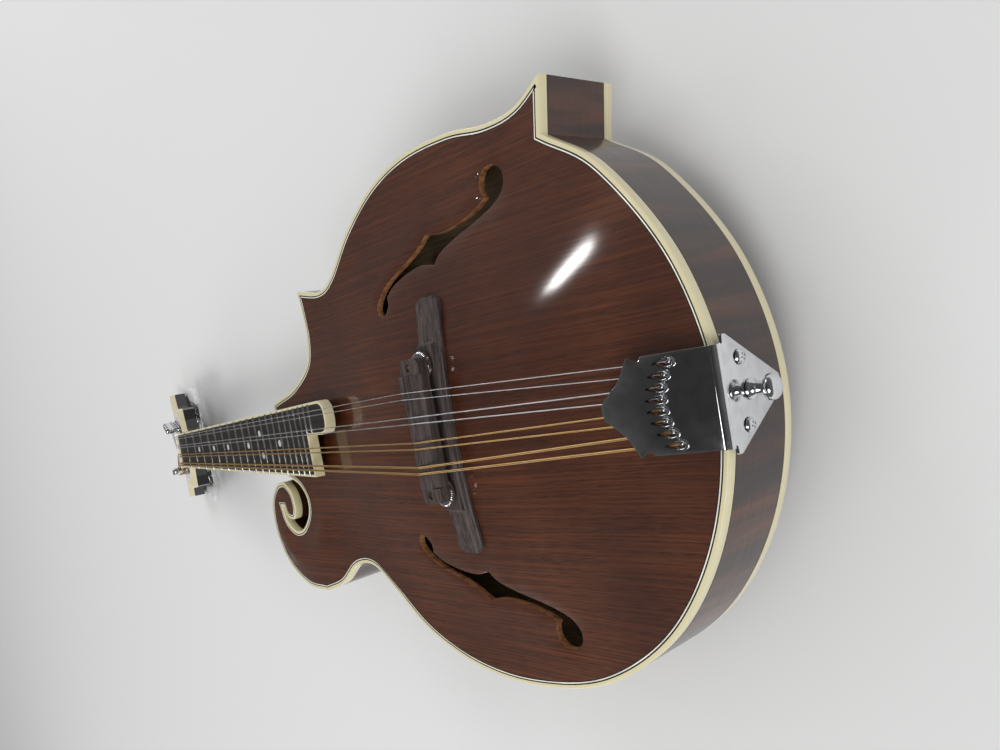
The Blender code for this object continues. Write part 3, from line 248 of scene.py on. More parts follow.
SADDLE_STATIONS = (37.4, 36.9, 36.2, 35.0, 33.0, 31.0, 29.9, 29.45, 29.35, 27.0, 24.5, 14.5, 13.0, 11.5, 10.0,
                   3.0, 1.5, 0.0)
SADDLE_NOTCH = (0.45, 0.9)
SADDLE_EAR_FILLET = (0.35, 1.2)
SADDLE_POST_HOLE = ((1.95, 15.0), (1.95, 40.0))

# Tailpiece
TAIL_COVER_ANGLE = math.radians(12.4)
TAIL_COVER_Y = -166.7
TAIL_COVER_Z = 7.0
TAIL_COVER_THICKNESS = 2.5
TAIL_COVER_HALF_WIDTH = 20.3
COVER_FRONT = [(20.3, 29.5), (18.2, 31.2), (20.8, 35.5), (16.3, 38.1), (12.2, 40.4), (7.4, 45.3), (3.4, 49.5),
               (0.0, 50.2)]
HOOK_ARC_Y = 25.6
HOOK_ARC_BEND = 0.021
WINDOW_HALF_WIDTH = 1.55
WINDOW_HALF_LENGTH = 4.4
WINDOW_SHAPE = ((0.0, 1.0), (0.22, 0.72), (0.5, 0.4), (0.8, 0.02), (1.0, -0.42), (0.85, -0.78), (0.45, -0.98))
WINDOW_RIM_WIDTH = 1.0
WINDOW_RIM_HEIGHT = 1.1
COVER_EDGE = 0.45
COVER_BEND = 3.2
COVER_BEND_OVERRUN = 1.12
COVER_BEND_STEPS = 9
HOOK_SHAPE = ((-3.6, -4.6), (-3.0, -2.6), (-2.0, -1.7), (-0.9, -1.9), (-0.4, -3.0))
HOOK_STEP = 0.4
HOOK_RADIUS = 0.75
HOOK_BAR_SECTION = ((0.0, -6.7), (0.0, -3.9), (2.4, -3.9), (2.4, -6.7))
HOOK_BAR_BACK = 2.9
HOOK_BAR_X = (19.0, 14.3, 9.5, 4.8, 0.0, -4.8, -9.5, -14.3, -19.0)
BRACKET_FACE_Y = -165.2
BRACKET_SIDE = ((20.0, 4.2), (20.0, -1.2), (20.4, -1.8), (23.2, -2.1), (23.7, -2.6), (23.7, -4.6),
                (23.3, -5.3), (3.4, -39.9))
BRACKET_TIP = (0.0, -41.0)
BRACKET_EDGE = 0.3
SCREW_HOLE = 1.7
PIN_HOLE = 3.3
BRACKET_THICKNESS = 1.5
BRACKET_SCREW_X = 13.6
BRACKET_SCREW_Z = -12.0
BRACKET_SCREW_DOME = ((1.4, 0.1), (1.4, 1.8), (3.2, 1.8), (3.2, 2.05), (2.9, 2.65), (2.2, 3.15), (1.2, 3.42),
                      (0.3, 3.5))
# A black cross on each domed screw is painted shade for the screw's cross recess, which is not cut
CROSS_LOW, CROSS_HIGH = (-1.5, -0.25, 3.05), (1.5, 0.25, 3.47)
CROSS_TURNS = (20.0, 110.0)
END_PIN_Z = -16.5
END_PIN_PROFILE = ((3.0, 0.1), (3.0, 1.8), (4.2, 1.8), (4.4, 2.0), (4.4, 3.0), (4.1, 3.3), (3.1, 4.3),
                   (2.9, 5.2), (2.9, 7.6), (3.2, 8.6), (4.6, 9.4), (5.2, 9.8), (5.3, 10.2), (5.3, 11.7),
                   (5.1, 12.3), (4.3, 13.3), (3.0, 13.9), (1.0, 14.1))

# Finishes: ramps of (position, colour), and colours laid over them
SPRUCE_TONES = ((0.3, (0.013, 0.0022, 0.0009)), (0.46, (0.043, 0.0078, 0.0024)), (0.68, (0.16, 0.036, 0.008)))
SPRUCE_FLECK = (0.15, 0.045, 0.013)
SPRUCE_CLOUD = (0.036, 0.008, 0.0035)
SPRUCE_COAT_ROUGHNESS = 0.07
MAPLE_TONES = ((0.32, (0.012, 0.0032, 0.0016)), (0.5, (0.035, 0.009, 0.0036)), (0.7, (0.11, 0.03, 0.01)))
MAPLE_FINE = (0.02, 0.006, 0.003)
BLACK_COLOUR = (0.008, 0.008, 0.009)
HEAD_BLACK_Y = 0.2345
IVOROID_TONES = ((0.3, (0.76, 0.68, 0.42)), (0.7, (0.86, 0.8, 0.54)))
IVOROID_CLOUD = (0.78, 0.68, 0.4)
PORE_COLOUR = (0.008, 0.006, 0.005)
BRONZE_TONES = ((0.1, (0.72, 0.47, 0.2)), (0.6, (0.98, 0.78, 0.46)))
WRAP_SCALE = 150.0
PEARL_TONES = ((0.3, (0.6, 0.62, 0.66)), (0.45, (0.82, 0.8, 0.84)), (0.58, (0.74, 0.8, 0.78)),
               (0.75, (0.92, 0.92, 0.94)))
COAT_ROUGHNESS = 0.04
BUMP_DEPTH = 0.0002

# Camera, from the photo's fit: place, angles of its turn, focal length and centre in pixels
CAMERA_PLACE = (27.101, -345.85, 278.854)
CAMERA_TILT = math.radians(35.0)
CAMERA_TURN = (0.058, -0.126, -0.18)
FOCAL_PX = 834.07
CENTRE_PX = (500.2, 422.4)
IMAGE_SIZE = (1000, 750)
SENSOR_WIDTH = 36.0
VIEW_REACH = 100.0

# Light: each lamp's name, place, target, size and watts, in metres
LAMPS = (
    ("key", (-0.9, -1.1, 1.6), (0.0, -0.1, 0.05), (0.9, 0.9), 15.0),
    ("fill", (1.4, 0.7, 0.9), (0.0, -0.1, 0.05), (0.9, 0.7), 7.0),
    ("rim", (-1.5, 0.9, 0.8), (0.0, -0.1, 0.05), (0.7, 0.5), 4.0),
    ("glow", (0.243, 0.196, 0.815), (0.064, -0.297, 0.083), (0.022, 0.022), 0.07),
)
ROOM_COLOUR = (1.0, 1.0, 1.0)
ROOM_LIGHT = 0.5
# The room's brightness in gloss, by height from 0 straight down to 1 overhead
ROOM_GLOSS = ((0.5, 0.34), (0.56, 0.13), (0.86, 0.09), (1.0, 0.03))
BACKDROP_COLOUR = (0.84, 0.84, 0.84)
FLOOR_REACH = 40.0


# Frames, each from its own millimetres to the world's metres

def body_origin():
    """The body frame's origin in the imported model, from the bridge posts and the rim."""
    corners = [corner for side in ("treble", "bass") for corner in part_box(f"bridge_post_{side}")]
    middle = sum(corners, Vector()) / len(corners)
    return Vector((middle.x, middle.y - BRIDGE_POST_Y * MM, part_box("top_binding")[1].z))


def tilted(y, z, angle):
    """A move by y and z, after a turn about X."""
    return Matrix.Translation((0.0, y, z)) @ Matrix.Rotation(angle, 4, "X")


BODY = Matrix.Translation(body_origin()) @ Matrix.Scale(MM, 4)
NECK = BODY @ tilted(NUT_Y, BOARD_Z_AT_NUT, -NECK_ANGLE)
HEAD = NECK @ tilted(NUT_THICKNESS, -HEADSTOCK_DROP, -HEADSTOCK_TILT)
COVER = BODY @ tilted(TAIL_COVER_Y, TAIL_COVER_Z, TAIL_COVER_ANGLE)


def tuner_line(side):
    """The frame of one side's tuners: y along the posts, x outwards on the treble side."""
    place = Matrix.Translation((side * FIRST_POST_X, FIRST_POST_S, 0.0))
    return HEAD @ place @ Matrix.Rotation(-side * PLATE_SPLAY, 4, "Z")


# Flat geometry

def curve_through(points, step):
    """Points along a smooth curve through the given ones, about a step apart."""
    curve = []
    for index in range(len(points) - 1):
        start, end = Vector(points[index]), Vector(points[index + 1])
        before = Vector(points[index - 1]) if index else start * 2 - end
        after = Vector(points[index + 2]) if index + 2 < len(points) else end * 2 - start
        count = max(1, round((end - start).length / step))
        for part in range(count):
            t = part / count
            curve.append(0.5 * (
                2 * start
                + (end - before) * t
                + (2 * before - 5 * start + 4 * end - after) * t**2
                + (3 * start - before - 3 * end + after) * t**3
            ))
    return curve


def offset(points, distance, closed=True):
    """A path moved to the right of its direction of travel, with mitred corners."""
    moved = []
    count = len(points)
    for index, point in enumerate(points):
        before = points[index - 1] if closed or index else point * 2 - points[1]
        after = points[(index + 1) % count] if closed or index < count - 1 else point * 2 - points[index - 1]
        one = (point - before).normalized()
        two = (after - point).normalized()
        right_one = Vector((one.y, -one.x))
        right_two = Vector((two.y, -two.x))
        share = max(0.25, 1 + right_one.dot(right_two))
        moved.append(point + (right_one + right_two) * (distance / share))
    return moved


def inside(point, polygon):
    crossings = False
    for index, one in enumerate(polygon):
        two = polygon[index - 1]
        if (one.y > point.y) != (two.y > point.y):
            x = two.x + (point.y - two.y) / (one.y - two.y) * (one.x - two.x)
            if point.x < x:
                crossings = not crossings
    return crossings


def distance_to(point, path):
    """The distance from a point to an open path."""
    least = math.inf
    for one, two in zip(path, path[1:]):
        along = two - one
        share = min(1.0, max(0.0, (point - one).dot(along) / along.length_squared))
        least = min(least, (one + along * share - point).length)
    return least


def circle(radius, sides, centre=(0.0, 0.0)):
    angles = [math.tau * side / sides for side in range(sides)]
    return [Vector((centre[0] + radius * math.cos(a), centre[1] + radius * math.sin(a))) for a in angles]


def mirrored(points):
    return [Vector((-point[0], point[1])) for point in reversed(points)]


# Solids, each as a list of points and a list of faces

def loft(rings, closed=False):
    """A skin through rings of equally many points, capped unless it closes on itself."""
    size = len(rings[0])
    points = [Vector(point) for ring in rings for point in ring]
    faces = []
    for index in range(len(rings) if closed else len(rings) - 1):
        here, there = index * size, (index + 1) % len(rings) * size
        for side in range(size):
            other = (side + 1) % size
            faces.append((here + side, here + other, there + other, there + side))
    if not closed:
        faces.append(tuple(range(size)))
        faces.append(tuple(range(len(points) - size, len(points))))
    return points, faces


def prism(outline, low, high):
    return loft([[(x, y, low) for x, y in outline], [(x, y, high) for x, y in outline]])


def strip(path, section, closed=True):
    """A section of (distance inwards, height) swept along a path, with mitred corners."""
    lines = {reach: offset(path, reach, closed) for reach, _ in section}
    rings = [[(*lines[reach][index], height) for reach, height in section] for index in range(len(path))]
    return loft(rings, closed)


def at_x(x, section):
    """A section of (y, z) pairs, at one x."""
    return [(x, y, z) for y, z in section]


def spun(profile, angle):
    """A profile of (radius, height) pairs turned about Z."""
    return [(radius * math.cos(angle), radius * math.sin(angle), height) for radius, height in profile]


def turned(profile, sides):
    """A solid of revolution about Z from (radius, height) pairs, with flat ends."""
    return loft([[(x, y, height) for x, y in circle(radius, sides)] for radius, height in profile])


def turned_ring(section, sides):
    """A ring about Z from a closed section of (radius, height) pairs."""
    return loft([spun(section, math.tau * step / sides) for step in range(sides)], closed=True)


def tube(path, radius, sides):
    """A round tube along a path, its rings carried along without twist."""
    rings = []
    across = None
    for index, point in enumerate(path):
        along = (path[min(len(path) - 1, index + 1)] - path[max(0, index - 1)]).normalized()
        if across is None:
            across = along.cross(Vector((1.0, 0.0, 0.0)) if abs(along.x) < 0.9 else Vector((0.0, 0.0, 1.0)))
        across = (across - along * across.dot(along)).normalized()
        other = along.cross(across)
        rings.append([point + (across * x + other * y) * radius for x, y in circle(1.0, sides)])
    return loft(rings)


def placed(solid, matrix):
    return [matrix @ point for point in solid[0]], solid[1]


def together(*solids):
    points, faces = [], []
    for solid_points, solid_faces in solids:
        first = len(points)
        points.extend(solid_points)
        faces.extend(tuple(first + index for index in face) for face in solid_faces)
    return points, faces


def fill(loops, extra=()):
    """Flat points and triangles inside the first loop and outside the others."""
    points, edges = [], []
    for loop in loops:
        first = len(points)
        points.extend(loop)
        edges.extend((first + index, first + (index + 1) % len(loop)) for index in range(len(loop)))
    points.extend(extra)
    spread, _, triangles, _, _, _ = delaunay_2d_cdt(points, edges, [], 0, 1e-4)
    kept = []
    for triangle in triangles:
        middle = sum((spread[index] for index in triangle), Vector((0, 0))) / len(triangle)
        if inside(middle, loops[0]) and not any(inside(middle, hole) for hole in loops[1:]):
            kept.append(tuple(triangle))
    return spread, kept


# Objects

def add_object(name, data):
    made = bpy.data.objects.new(name, data)
    bpy.context.scene.collection.objects.link(made)
    return made


def face_outwards(mesh):
    """Drops loose points, joins equal ones and turns every face outwards."""
    shape = bmesh.new()
    shape.from_mesh(mesh)
    loose = [vert for vert in shape.verts if not vert.link_faces]
    bmesh.ops.delete(shape, geom=loose, context="VERTS")
    bmesh.ops.remove_doubles(shape, verts=shape.verts, dist=1e-7)
    bmesh.ops.recalc_face_normals(shape, faces=shape.faces)
    shape.to_mesh(mesh)
    shape.free()


def piece(name, solid, look, body, matrix, replaces=(), smooth_angle=SHARP_ANGLE, bevel=0.0,
          looks=(), pick=None):
    """A mesh object riding on a body. pick(middle of a face) says which look it has, 0 for the first."""
    mesh = bpy.data.meshes.new(name)
    mesh.from_pydata([matrix @ point for point in solid[0]], [], solid[1])
    for each in (look, *looks):
        mesh.materials.append(each)
    if pick:
        for polygon, corners in zip(mesh.polygons, solid[1]):
            middle = sum((solid[0][index] for index in corners), Vector()) / len(corners)
            polygon.material_index = pick(middle)
    face_outwards(mesh)
    mesh.shade_smooth()
    mesh.set_sharp_from_angle(angle=math.radians(smooth_angle))
    made = add_object(name, mesh)
    if bevel:
        soften(made, bevel)
    if body:
        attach(made, body)
    if replaces:
        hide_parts(*replaces)
    return made


def soften(made, width):
    """Rounds the sharp edges by a width in millimetres."""
    modifier = made.modifiers.new("edges", "BEVEL")
    modifier.width = width * MM
    modifier.segments = 3
    modifier.limit_method = "ANGLE"
    modifier.angle_limit = math.radians(SHARP_ANGLE)


def outline_stretches():
    """The rim's outline, clockwise from the front, in its smooth stretches."""
    outline = curve_through(SHOULDER, OUTLINE_STEP)
    outline += curve_through(TREBLE_SIDE, OUTLINE_STEP)
    outline += [Vector(HORN_TIP)]
    outline += curve_through(LOWER_BOUT, OUTLINE_STEP)
    outline += curve_through(SCROLL_OUTSIDE, SCROLL_STEP)
    outline += curve_through(SCROLL_BUTTON, SCROLL_STEP)
    outline += [Vector(SCROLL_BUTTON[-1])]
    outline += curve_through(SCROLL_SLIT, SCROLL_STEP)
    outline += [Vector(NECK_CORNER_BASS)]
    return outline


def arch_share(x, y):
    length = ARCH_TAIL_LENGTH if y < ARCH_CENTRE_Y else ARCH_HEAD_LENGTH
    square = (x / ARCH_HALF_WIDTH) ** 2 + ((y - ARCH_CENTRE_Y) / length) ** 2
    return max(0.0, 1.0 - square) ** 2


# Materials

class Nodes:
    """A node tree under construction, whose helpers add nodes and join them."""

    def __init__(self, tree):
        self.tree = tree

    def add(self, kind, inputs=None, **settings):
        made = self.tree.nodes.new(kind)
        for name, value in settings.items():
            setattr(made, name, value)
        for name, value in (inputs or {}).items():
            if isinstance(value, bpy.types.NodeSocket):
                self.tree.links.new(value, made.inputs[name])
            else:
                made.inputs[name].default_value = value
        return made

    def ramp(self, factor, stops):
        made = self.add("ShaderNodeValToRGB", {"Fac": factor})
        elements = made.color_ramp.elements
        while len(elements) < len(stops):
            elements.new(0.5)
        for element, (position, colour) in zip(elements, stops):
            element.position = position
            element.color = (*colour, 1.0)
        return made.outputs["Color"]

    def grey_ramp(self, factor, stops):
        """A ramp between shades of grey, each a (position, brightness) pair."""
        return self.ramp(factor, [(position, (value,) * 3) for position, value in stops])


class Finish(Nodes):
    """A material under construction, with its textures in the object's metres."""

    def __init__(self, name, colour, roughness, metallic=0.0, coat=0.0, coat_roughness=COAT_ROUGHNESS):
        self.material = bpy.data.materials.new(name)
        self.material.use_nodes = True
        super().__init__(self.material.node_tree)
        self.shader = self.tree.nodes["Principled BSDF"]
        values = {"Base Color": (*colour, 1.0), "Roughness": roughness, "Metallic": metallic,
                  "Coat Weight": coat, "Coat Roughness": coat_roughness}
        for socket, value in values.items():
            self.shader.inputs[socket].default_value = value

    def link(self, output, name):
        self.tree.links.new(output, self.shader.inputs[name])

    def place(self, scale, source="Object"):
        """Texture coordinates stretched by a scale, in cycles to the metre."""
        vector = self.add("ShaderNodeTexCoord").outputs[source]
        return self.add("ShaderNodeMapping", {"Vector": vector, "Scale": scale}).outputs["Vector"]

    def noise(self, scale, detail=4.0, source="Object", distortion=0.0):
        inputs = {"Vector": self.place(scale, source), "Scale": 1.0, "Detail": detail}
        return self.add("ShaderNodeTexNoise", {**inputs, "Distortion": distortion}).outputs["Fac"]

    def mix(self, factor, under, over):
        """A colour from a socket, with a plain one over it by a factor's share."""
        made = self.add("ShaderNodeMix", data_type="RGBA")
        self.tree.links.new(factor, made.inputs[0])
        self.tree.links.new(under, made.inputs[6])
        made.inputs[7].default_value = (*over, 1.0)
        return made.outputs[2]

    def veil(self, factor, stops, under, over):
        """A plain colour over another, by a share that a ramp of (position, share) pairs gives."""
        return self.mix(self.grey_ramp(factor, stops), under, over)

    def rough(self, factor, low, high):
        """Roughness spread over a range by a factor."""
        inputs = {"Value": factor, "To Min": low, "To Max": high}
        self.link(self.add("ShaderNodeMapRange", inputs).outputs["Result"], "Roughness")

    def bump(self, height, strength):
        inputs = {"Height": height, "Strength": strength, "Distance": BUMP_DEPTH}
        self.link(self.add("ShaderNodeBump", inputs).outputs["Normal"], "Normal")


def stained_spruce():
    """Straight fine grain along the body under a dark red-brown stain and gloss."""
    finish = Finish("stained_spruce", SPRUCE_TONES[1][1], 0.42, 0.0, 1.0, SPRUCE_COAT_ROUGHNESS)
    rings = finish.noise((1000.0, 11.0, 60.0), 3.0, distortion=0.3)
    fibre = finish.noise((2600.0, 120.0, 400.0), 3.0)
    cloud = finish.noise((9.0, 14.0, 9.0), 2.0)
    flecked = finish.veil(fibre, ((0.38, 0.2), (0.7, 0.75)), finish.ramp(rings, SPRUCE_TONES), SPRUCE_FLECK)
    finish.link(finish.veil(cloud, ((0.3, 0.0), (0.72, 0.6)), flecked, SPRUCE_CLOUD), "Base Color")
    finish.rough(fibre, 0.32, 0.55)
    finish.bump(rings, 0.12)
    return finish.material


def stained_maple(name, source):
    """Dark flamed maple, striped across the wood's length and black from the nut onwards."""
    finish = Finish(name, MAPLE_TONES[1][1], 0.4, coat=0.5)
    swept = source == "UV"
    flame = finish.noise((95.0, 9.0, 9.0) if swept else (9.0, 110.0, 9.0), 2.0, source, distortion=0.6)
    fine = finish.noise((40.0, 900.0, 900.0) if swept else (900.0, 60.0, 900.0), 3.0, source)
    stained = finish.veil(fine, ((0.45, 0.0), (0.7, 0.35)), finish.ramp(flame, MAPLE_TONES), MAPLE_FINE)
    if not swept:
        along = finish.add("ShaderNodeSeparateXYZ", {"Vector": finish.place((1.0, 1.0, 1.0))}).outputs["Y"]
        past = finish.add("ShaderNodeMath", {0: along, 1: HEAD_BLACK_Y}, operation="GREATER_THAN").outputs[0]
        stained = finish.mix(past, stained, BLACK_COLOUR)
    finish.link(stained, "Base Color")
    finish.rough(fine, 0.3, 0.5)
    return finish.material


def bare_wood(name, dark, light):
    finish = Finish(name, light, 0.65)
    grain = finish.noise((700.0, 30.0, 300.0))
    finish.link(finish.ramp(grain, ((0.3, dark), (0.68, light))), "Base Color")
    finish.bump(grain, 0.2)
    return finish.material


def ivoroid():
    """Cream plastic with faint lines along its length and a polished coat."""
    finish = Finish("ivoroid", IVOROID_CLOUD, 0.35, coat=0.6)
    lines = finish.noise((6.0, 1500.0, 1500.0), 2.0, "UV")
    cloud = finish.noise((40.0, 40.0, 40.0), 3.0)
    base = finish.ramp(lines, IVOROID_TONES)
    finish.link(finish.veil(cloud, ((0.4, 0.0), (0.75, 0.4)), base, IVOROID_CLOUD), "Base Color")
    finish.rough(cloud, 0.25, 0.42)
    return finish.material


def ebony(name, dark, light, roughness, along):
    """Fine dark pores and streaks along the grain."""
    finish = Finish(name, dark, roughness)
    streak = finish.noise(along, 5.0)
    pores = finish.noise(tuple(3.0 * value for value in along), 2.0)
    base = finish.ramp(streak, ((0.32, dark), (0.7, light)))
    finish.link(finish.veil(pores, ((0.56, 0.0), (0.66, 0.7)), base, PORE_COLOUR), "Base Color")
    finish.rough(streak, roughness - 0.08, roughness + 0.12)
    finish.bump(pores, 0.25)
    return finish.material


def polished(name, colour, roughness):
    """Plated or drawn metal with slight wear in its polish."""
    finish = Finish(name, colour, roughness, metallic=1.0)
    cloud = finish.noise((160.0, 160.0, 160.0))
    finish.rough(cloud, roughness * 0.5, roughness * 1.8)
    worn = tuple(0.86 * value for value in colour)
    finish.link(finish.ramp(cloud, ((0.3, worn), (0.6, colour))), "Base Color")
    return finish.material


def wound_bronze():
    """Bronze wrap wire: fine rings along the string."""
    finish = Finish("bronze", BRONZE_TONES[0][1], 0.42, metallic=1.0)
    inputs = {"Vector": finish.place((0.0, 1.0, 0.0)), "Scale": WRAP_SCALE}
    wrap = finish.add("ShaderNodeTexWave", inputs).outputs["Fac"]
    finish.link(finish.ramp(wrap, BRONZE_TONES), "Base Color")
    finish.bump(wrap, 0.4)
    return finish.material


def pearl(name, cell):
    """Shifting patches of pale grey, rose and green under a gloss."""
    finish = Finish(name, PEARL_TONES[1][1], 0.25, coat=0.8)
    cloud = finish.noise((cell,) * 3, 3.0, distortion=2.0)
    finish.link(finish.ramp(cloud, PEARL_TONES), "Base Color")
    finish.rough(cloud, 0.15, 0.32)
    return finish.material


def lacquer(name, colour):
    finish = Finish(name, colour, 0.3, coat=0.8)
    haze = finish.noise((60.0, 60.0, 60.0), 3.0)
    paler = tuple(1.6 * value + 0.004 for value in colour)
    finish.link(finish.ramp(haze, ((0.3, colour), (0.8, paler))), "Base Color")
    finish.rough(haze, 0.2, 0.38)
    return finish.material


SPRUCE = stained_spruce()
MAPLE_RIBS = stained_maple("maple_ribs", "UV")
MAPLE = stained_maple("maple", "Object")
LIGHT_WOOD = bare_wood("light_wood", (0.11, 0.04, 0.013), (0.36, 0.165, 0.06))
INSIDE_WOOD = bare_wood("inside_wood", (0.35, 0.24, 0.13), (0.55, 0.42, 0.26))
IVOROID = ivoroid()
EBONY = ebony("ebony", (0.012, 0.010, 0.010), (0.05, 0.042, 0.04), 0.42, (900.0, 35.0, 900.0))
BRIDGE_WOOD = ebony("bridge_ebony", (0.035, 0.026, 0.024), (0.12, 0.088, 0.078), 0.5, (30.0, 800.0, 900.0))
BONE = lacquer("bone", (0.82, 0.78, 0.64))
BLACK = lacquer("black", BLACK_COLOUR)
WHITE_LINE = lacquer("white_line", (0.72, 0.72, 0.62))
CHROME = polished("chrome", (0.78, 0.79, 0.81), 0.07)
NICKEL = polished("nickel", (0.7, 0.69, 0.66), 0.22)
STEEL = polished("steel", (0.78, 0.78, 0.79), 0.32)
BRASS = polished("brass", (0.7, 0.56, 0.28), 0.28)
BRONZE = wound_bronze()
PEARLOID = pearl("pearloid", 210.0)
PEARL_DOT = pearl("pearl_dot", 420.0)
LOOKS = {
    "stained_spruce": SPRUCE, "stained_maple": MAPLE, "bare_wood": INSIDE_WOOD, "ivoroid": IVOROID,
    "black_veneer": BLACK, "ebony": EBONY, "bridge_ebony": BRIDGE_WOOD, "bone": BONE, "steel": STEEL,
    "bronze": BRONZE, "brass": BRASS, "chrome": CHROME, "pearloid": PEARLOID,
}


def dress_nodes():
    """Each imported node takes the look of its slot, until a piece replaces it."""
    slots = {part["node"]: part["material_slot"] for part in frame["record"]["subparts"]}
    for name, shape in frame["nodes"].items():
        shape.data.materials.clear()
        shape.data.materials.append(LOOKS[slots[name]])
        shape.data.shade_smooth()
        shape.data.set_sharp_from_angle(angle=math.radians(SHARP_ANGLE))


# Body

OUTLINE = outline_stretches()
CREST = curve_through(CREST_LINE, CREST_STEP)
RIM_LINE = offset(OUTLINE, PLATE_EDGE)


def smooth(share):
    share = min(1.0, max(0.0, share))
    return share * share * (3 - 2 * share)


def carved_top(x, y):
    """The front's height: the arch, and the crest along the scroll."""
    height = TOP_ARCH * arch_share(x, y)
    point = Vector((x, y))
    reach = distance_to(point, CREST) if y > CREST_FROM else CREST_WIDTH
    if reach < CREST_WIDTH:
        fade = smooth((distance_to(point, RIM_LINE) - CREST_RIM_CLEARANCE) / CREST_RIM_FADE)
        fade *= smooth((y - CREST_FROM) / CREST_START_FADE)
        height += CREST_HEIGHT * (1 - (reach / CREST_WIDTH) ** 2) ** 2 * fade
    return height


def f_holes():
    """Both sound holes as smooth curves between their sharp corners."""
    corners = [0, *F_HOLE_CORNERS, len(F_HOLE)]
    loop = [*F_HOLE, F_HOLE[0]]
    treble = []
    for start, end in zip(corners, corners[1:]):
        treble += curve_through(loop[start:end + 1], F_HOLE_STEP)
    bass = [Vector((BASS_F_HOLE_SHIFT - point.x, point.y)) for point in reversed(treble)]
    return [treble, bass]


def outward(loop, distance):
    """A closed loop grown by a distance, whichever way it runs."""
    area = sum(one.x * two.y - two.x * one.y for one, two in zip(loop, loop[1:] + loop[:1]))
    return offset(loop, distance if area > 0 else -distance)


def grid_inside(loops, step, clear):
    """A grid of points inside a plate, kept clear of its edges."""
    low_x, high_x = min(p.x for p in loops[0]), max(p.x for p in loops[0])
    low_y, high_y = min(p.y for p in loops[0]), max(p.y for p in loops[0])
    rims = [point for loop in loops for point in loop]
    points = []
    for row in range(int((high_y - low_y) / step) + 1):
        for column in range(int((high_x - low_x) / step) + 1):
            point = Vector((low_x + step * (column + 0.5 * (row % 2)), low_y + step * row))
            if not inside(point, loops[0]) or any(inside(point, hole) for hole in loops[1:]):
                continue
            if min((point - rim).length_squared for rim in rims) > clear**2:
                points.append(point)
    return points


def level(loop, height):
    return [(point, height) for point in loop]


def wall(upper, lower):
    """A closed skin between two loops of (point, height)."""
    count = len(upper)
    points = [Vector((point.x, point.y, height)) for point, height in (*upper, *lower)]
    nexts = [(index, (index + 1) % count) for index in range(count)]
    return points, [(one, two, count + two, count + one) for one, two in nexts]


def lid(loops, height, step=0.0, turned_over=False):
    """A face over the area between loops, at height(x, y), with a grid of points where it curves."""
    spread, kept = fill(loops, grid_inside(loops, step, GRID_CLEARANCE * step) if step else ())
    if turned_over:
        kept = [tuple(reversed(face)) for face in kept]
    return [Vector((x, y, height(x, y))) for x, y in spread], kept


def plate(edge, holes, top, bottom, rounding=0.0):
    """An arched plate whose holes have rounded front edges."""
    grown = [outward(hole, rounding) for hole in holes]
    solids = [lid([edge, *grown], top, PLATE_GRID), lid([edge, *grown], bottom, PLATE_GRID, True)]
    solids.append(wall([(point, top(*point)) for point in edge], [(point, bottom(*point)) for point in edge]))
    for hole, rim in zip(holes, grown):
        between = [one.lerp(two, 0.7) for one, two in zip(rim, hole)]
        levels = [
            [(point, top(*point)) for point in rim],
            [(point, top(*outer) - 0.3 * rounding) for point, outer in zip(between, rim)],
            [(point, top(*outer) - rounding) for point, outer in zip(hole, rim)],
            [(point, bottom(*outer) + 0.2) for point, outer in zip(hole, rim)],
            [(point, bottom(*point)) for point in rim],
        ]
        solids.extend(wall(one, two) for one, two in zip(levels, levels[1:]))
    return together(*solids)


def lengthwise(made, path):
    """A UV map whose u runs along a swept closed strip in metres and whose v is its height."""
    lengths = [0.0]
    for one, two in zip(path, [*path[1:], path[0]]):
        lengths.append(lengths[-1] + (two - one).length * MM)
    places = {}
    for point, length in zip(path, lengths):
        world = BODY @ Vector((point.x, point.y, 0.0))
        places[(round(world.x, 6), round(world.y, 6))] = length
    half = 0.5 * lengths[-1]
    layer = made.data.uv_layers.new(name="along")
    for polygon in made.data.polygons:
        corners = [made.data.vertices[index].co for index in polygon.vertices]
        along = [places.get((round(co.x, 6), round(co.y, 6)), 0.0) for co in corners]
        wraps = max(along) - min(along) > half
        for index, co, u in zip(polygon.loop_indices, corners, along):
            layer.data[index].uv = (u + lengths[-1] if wraps and u < half else u, co.z)


def rounded_section(width, low, high, rounding):
    """A strip's section with its two outer edges rounded, as (distance inwards, height)."""
    angles = [math.radians(angle) for angle in (0, 30, 60, 90)]
    section = [(width, low), (width, high)]
    section += [(rounding * (1 - math.sin(a)), high - rounding * (1 - math.cos(a))) for a in angles]
    section += [(rounding * (1 - math.cos(a)), low + rounding * (1 - math.sin(a))) for a in angles]
    return section


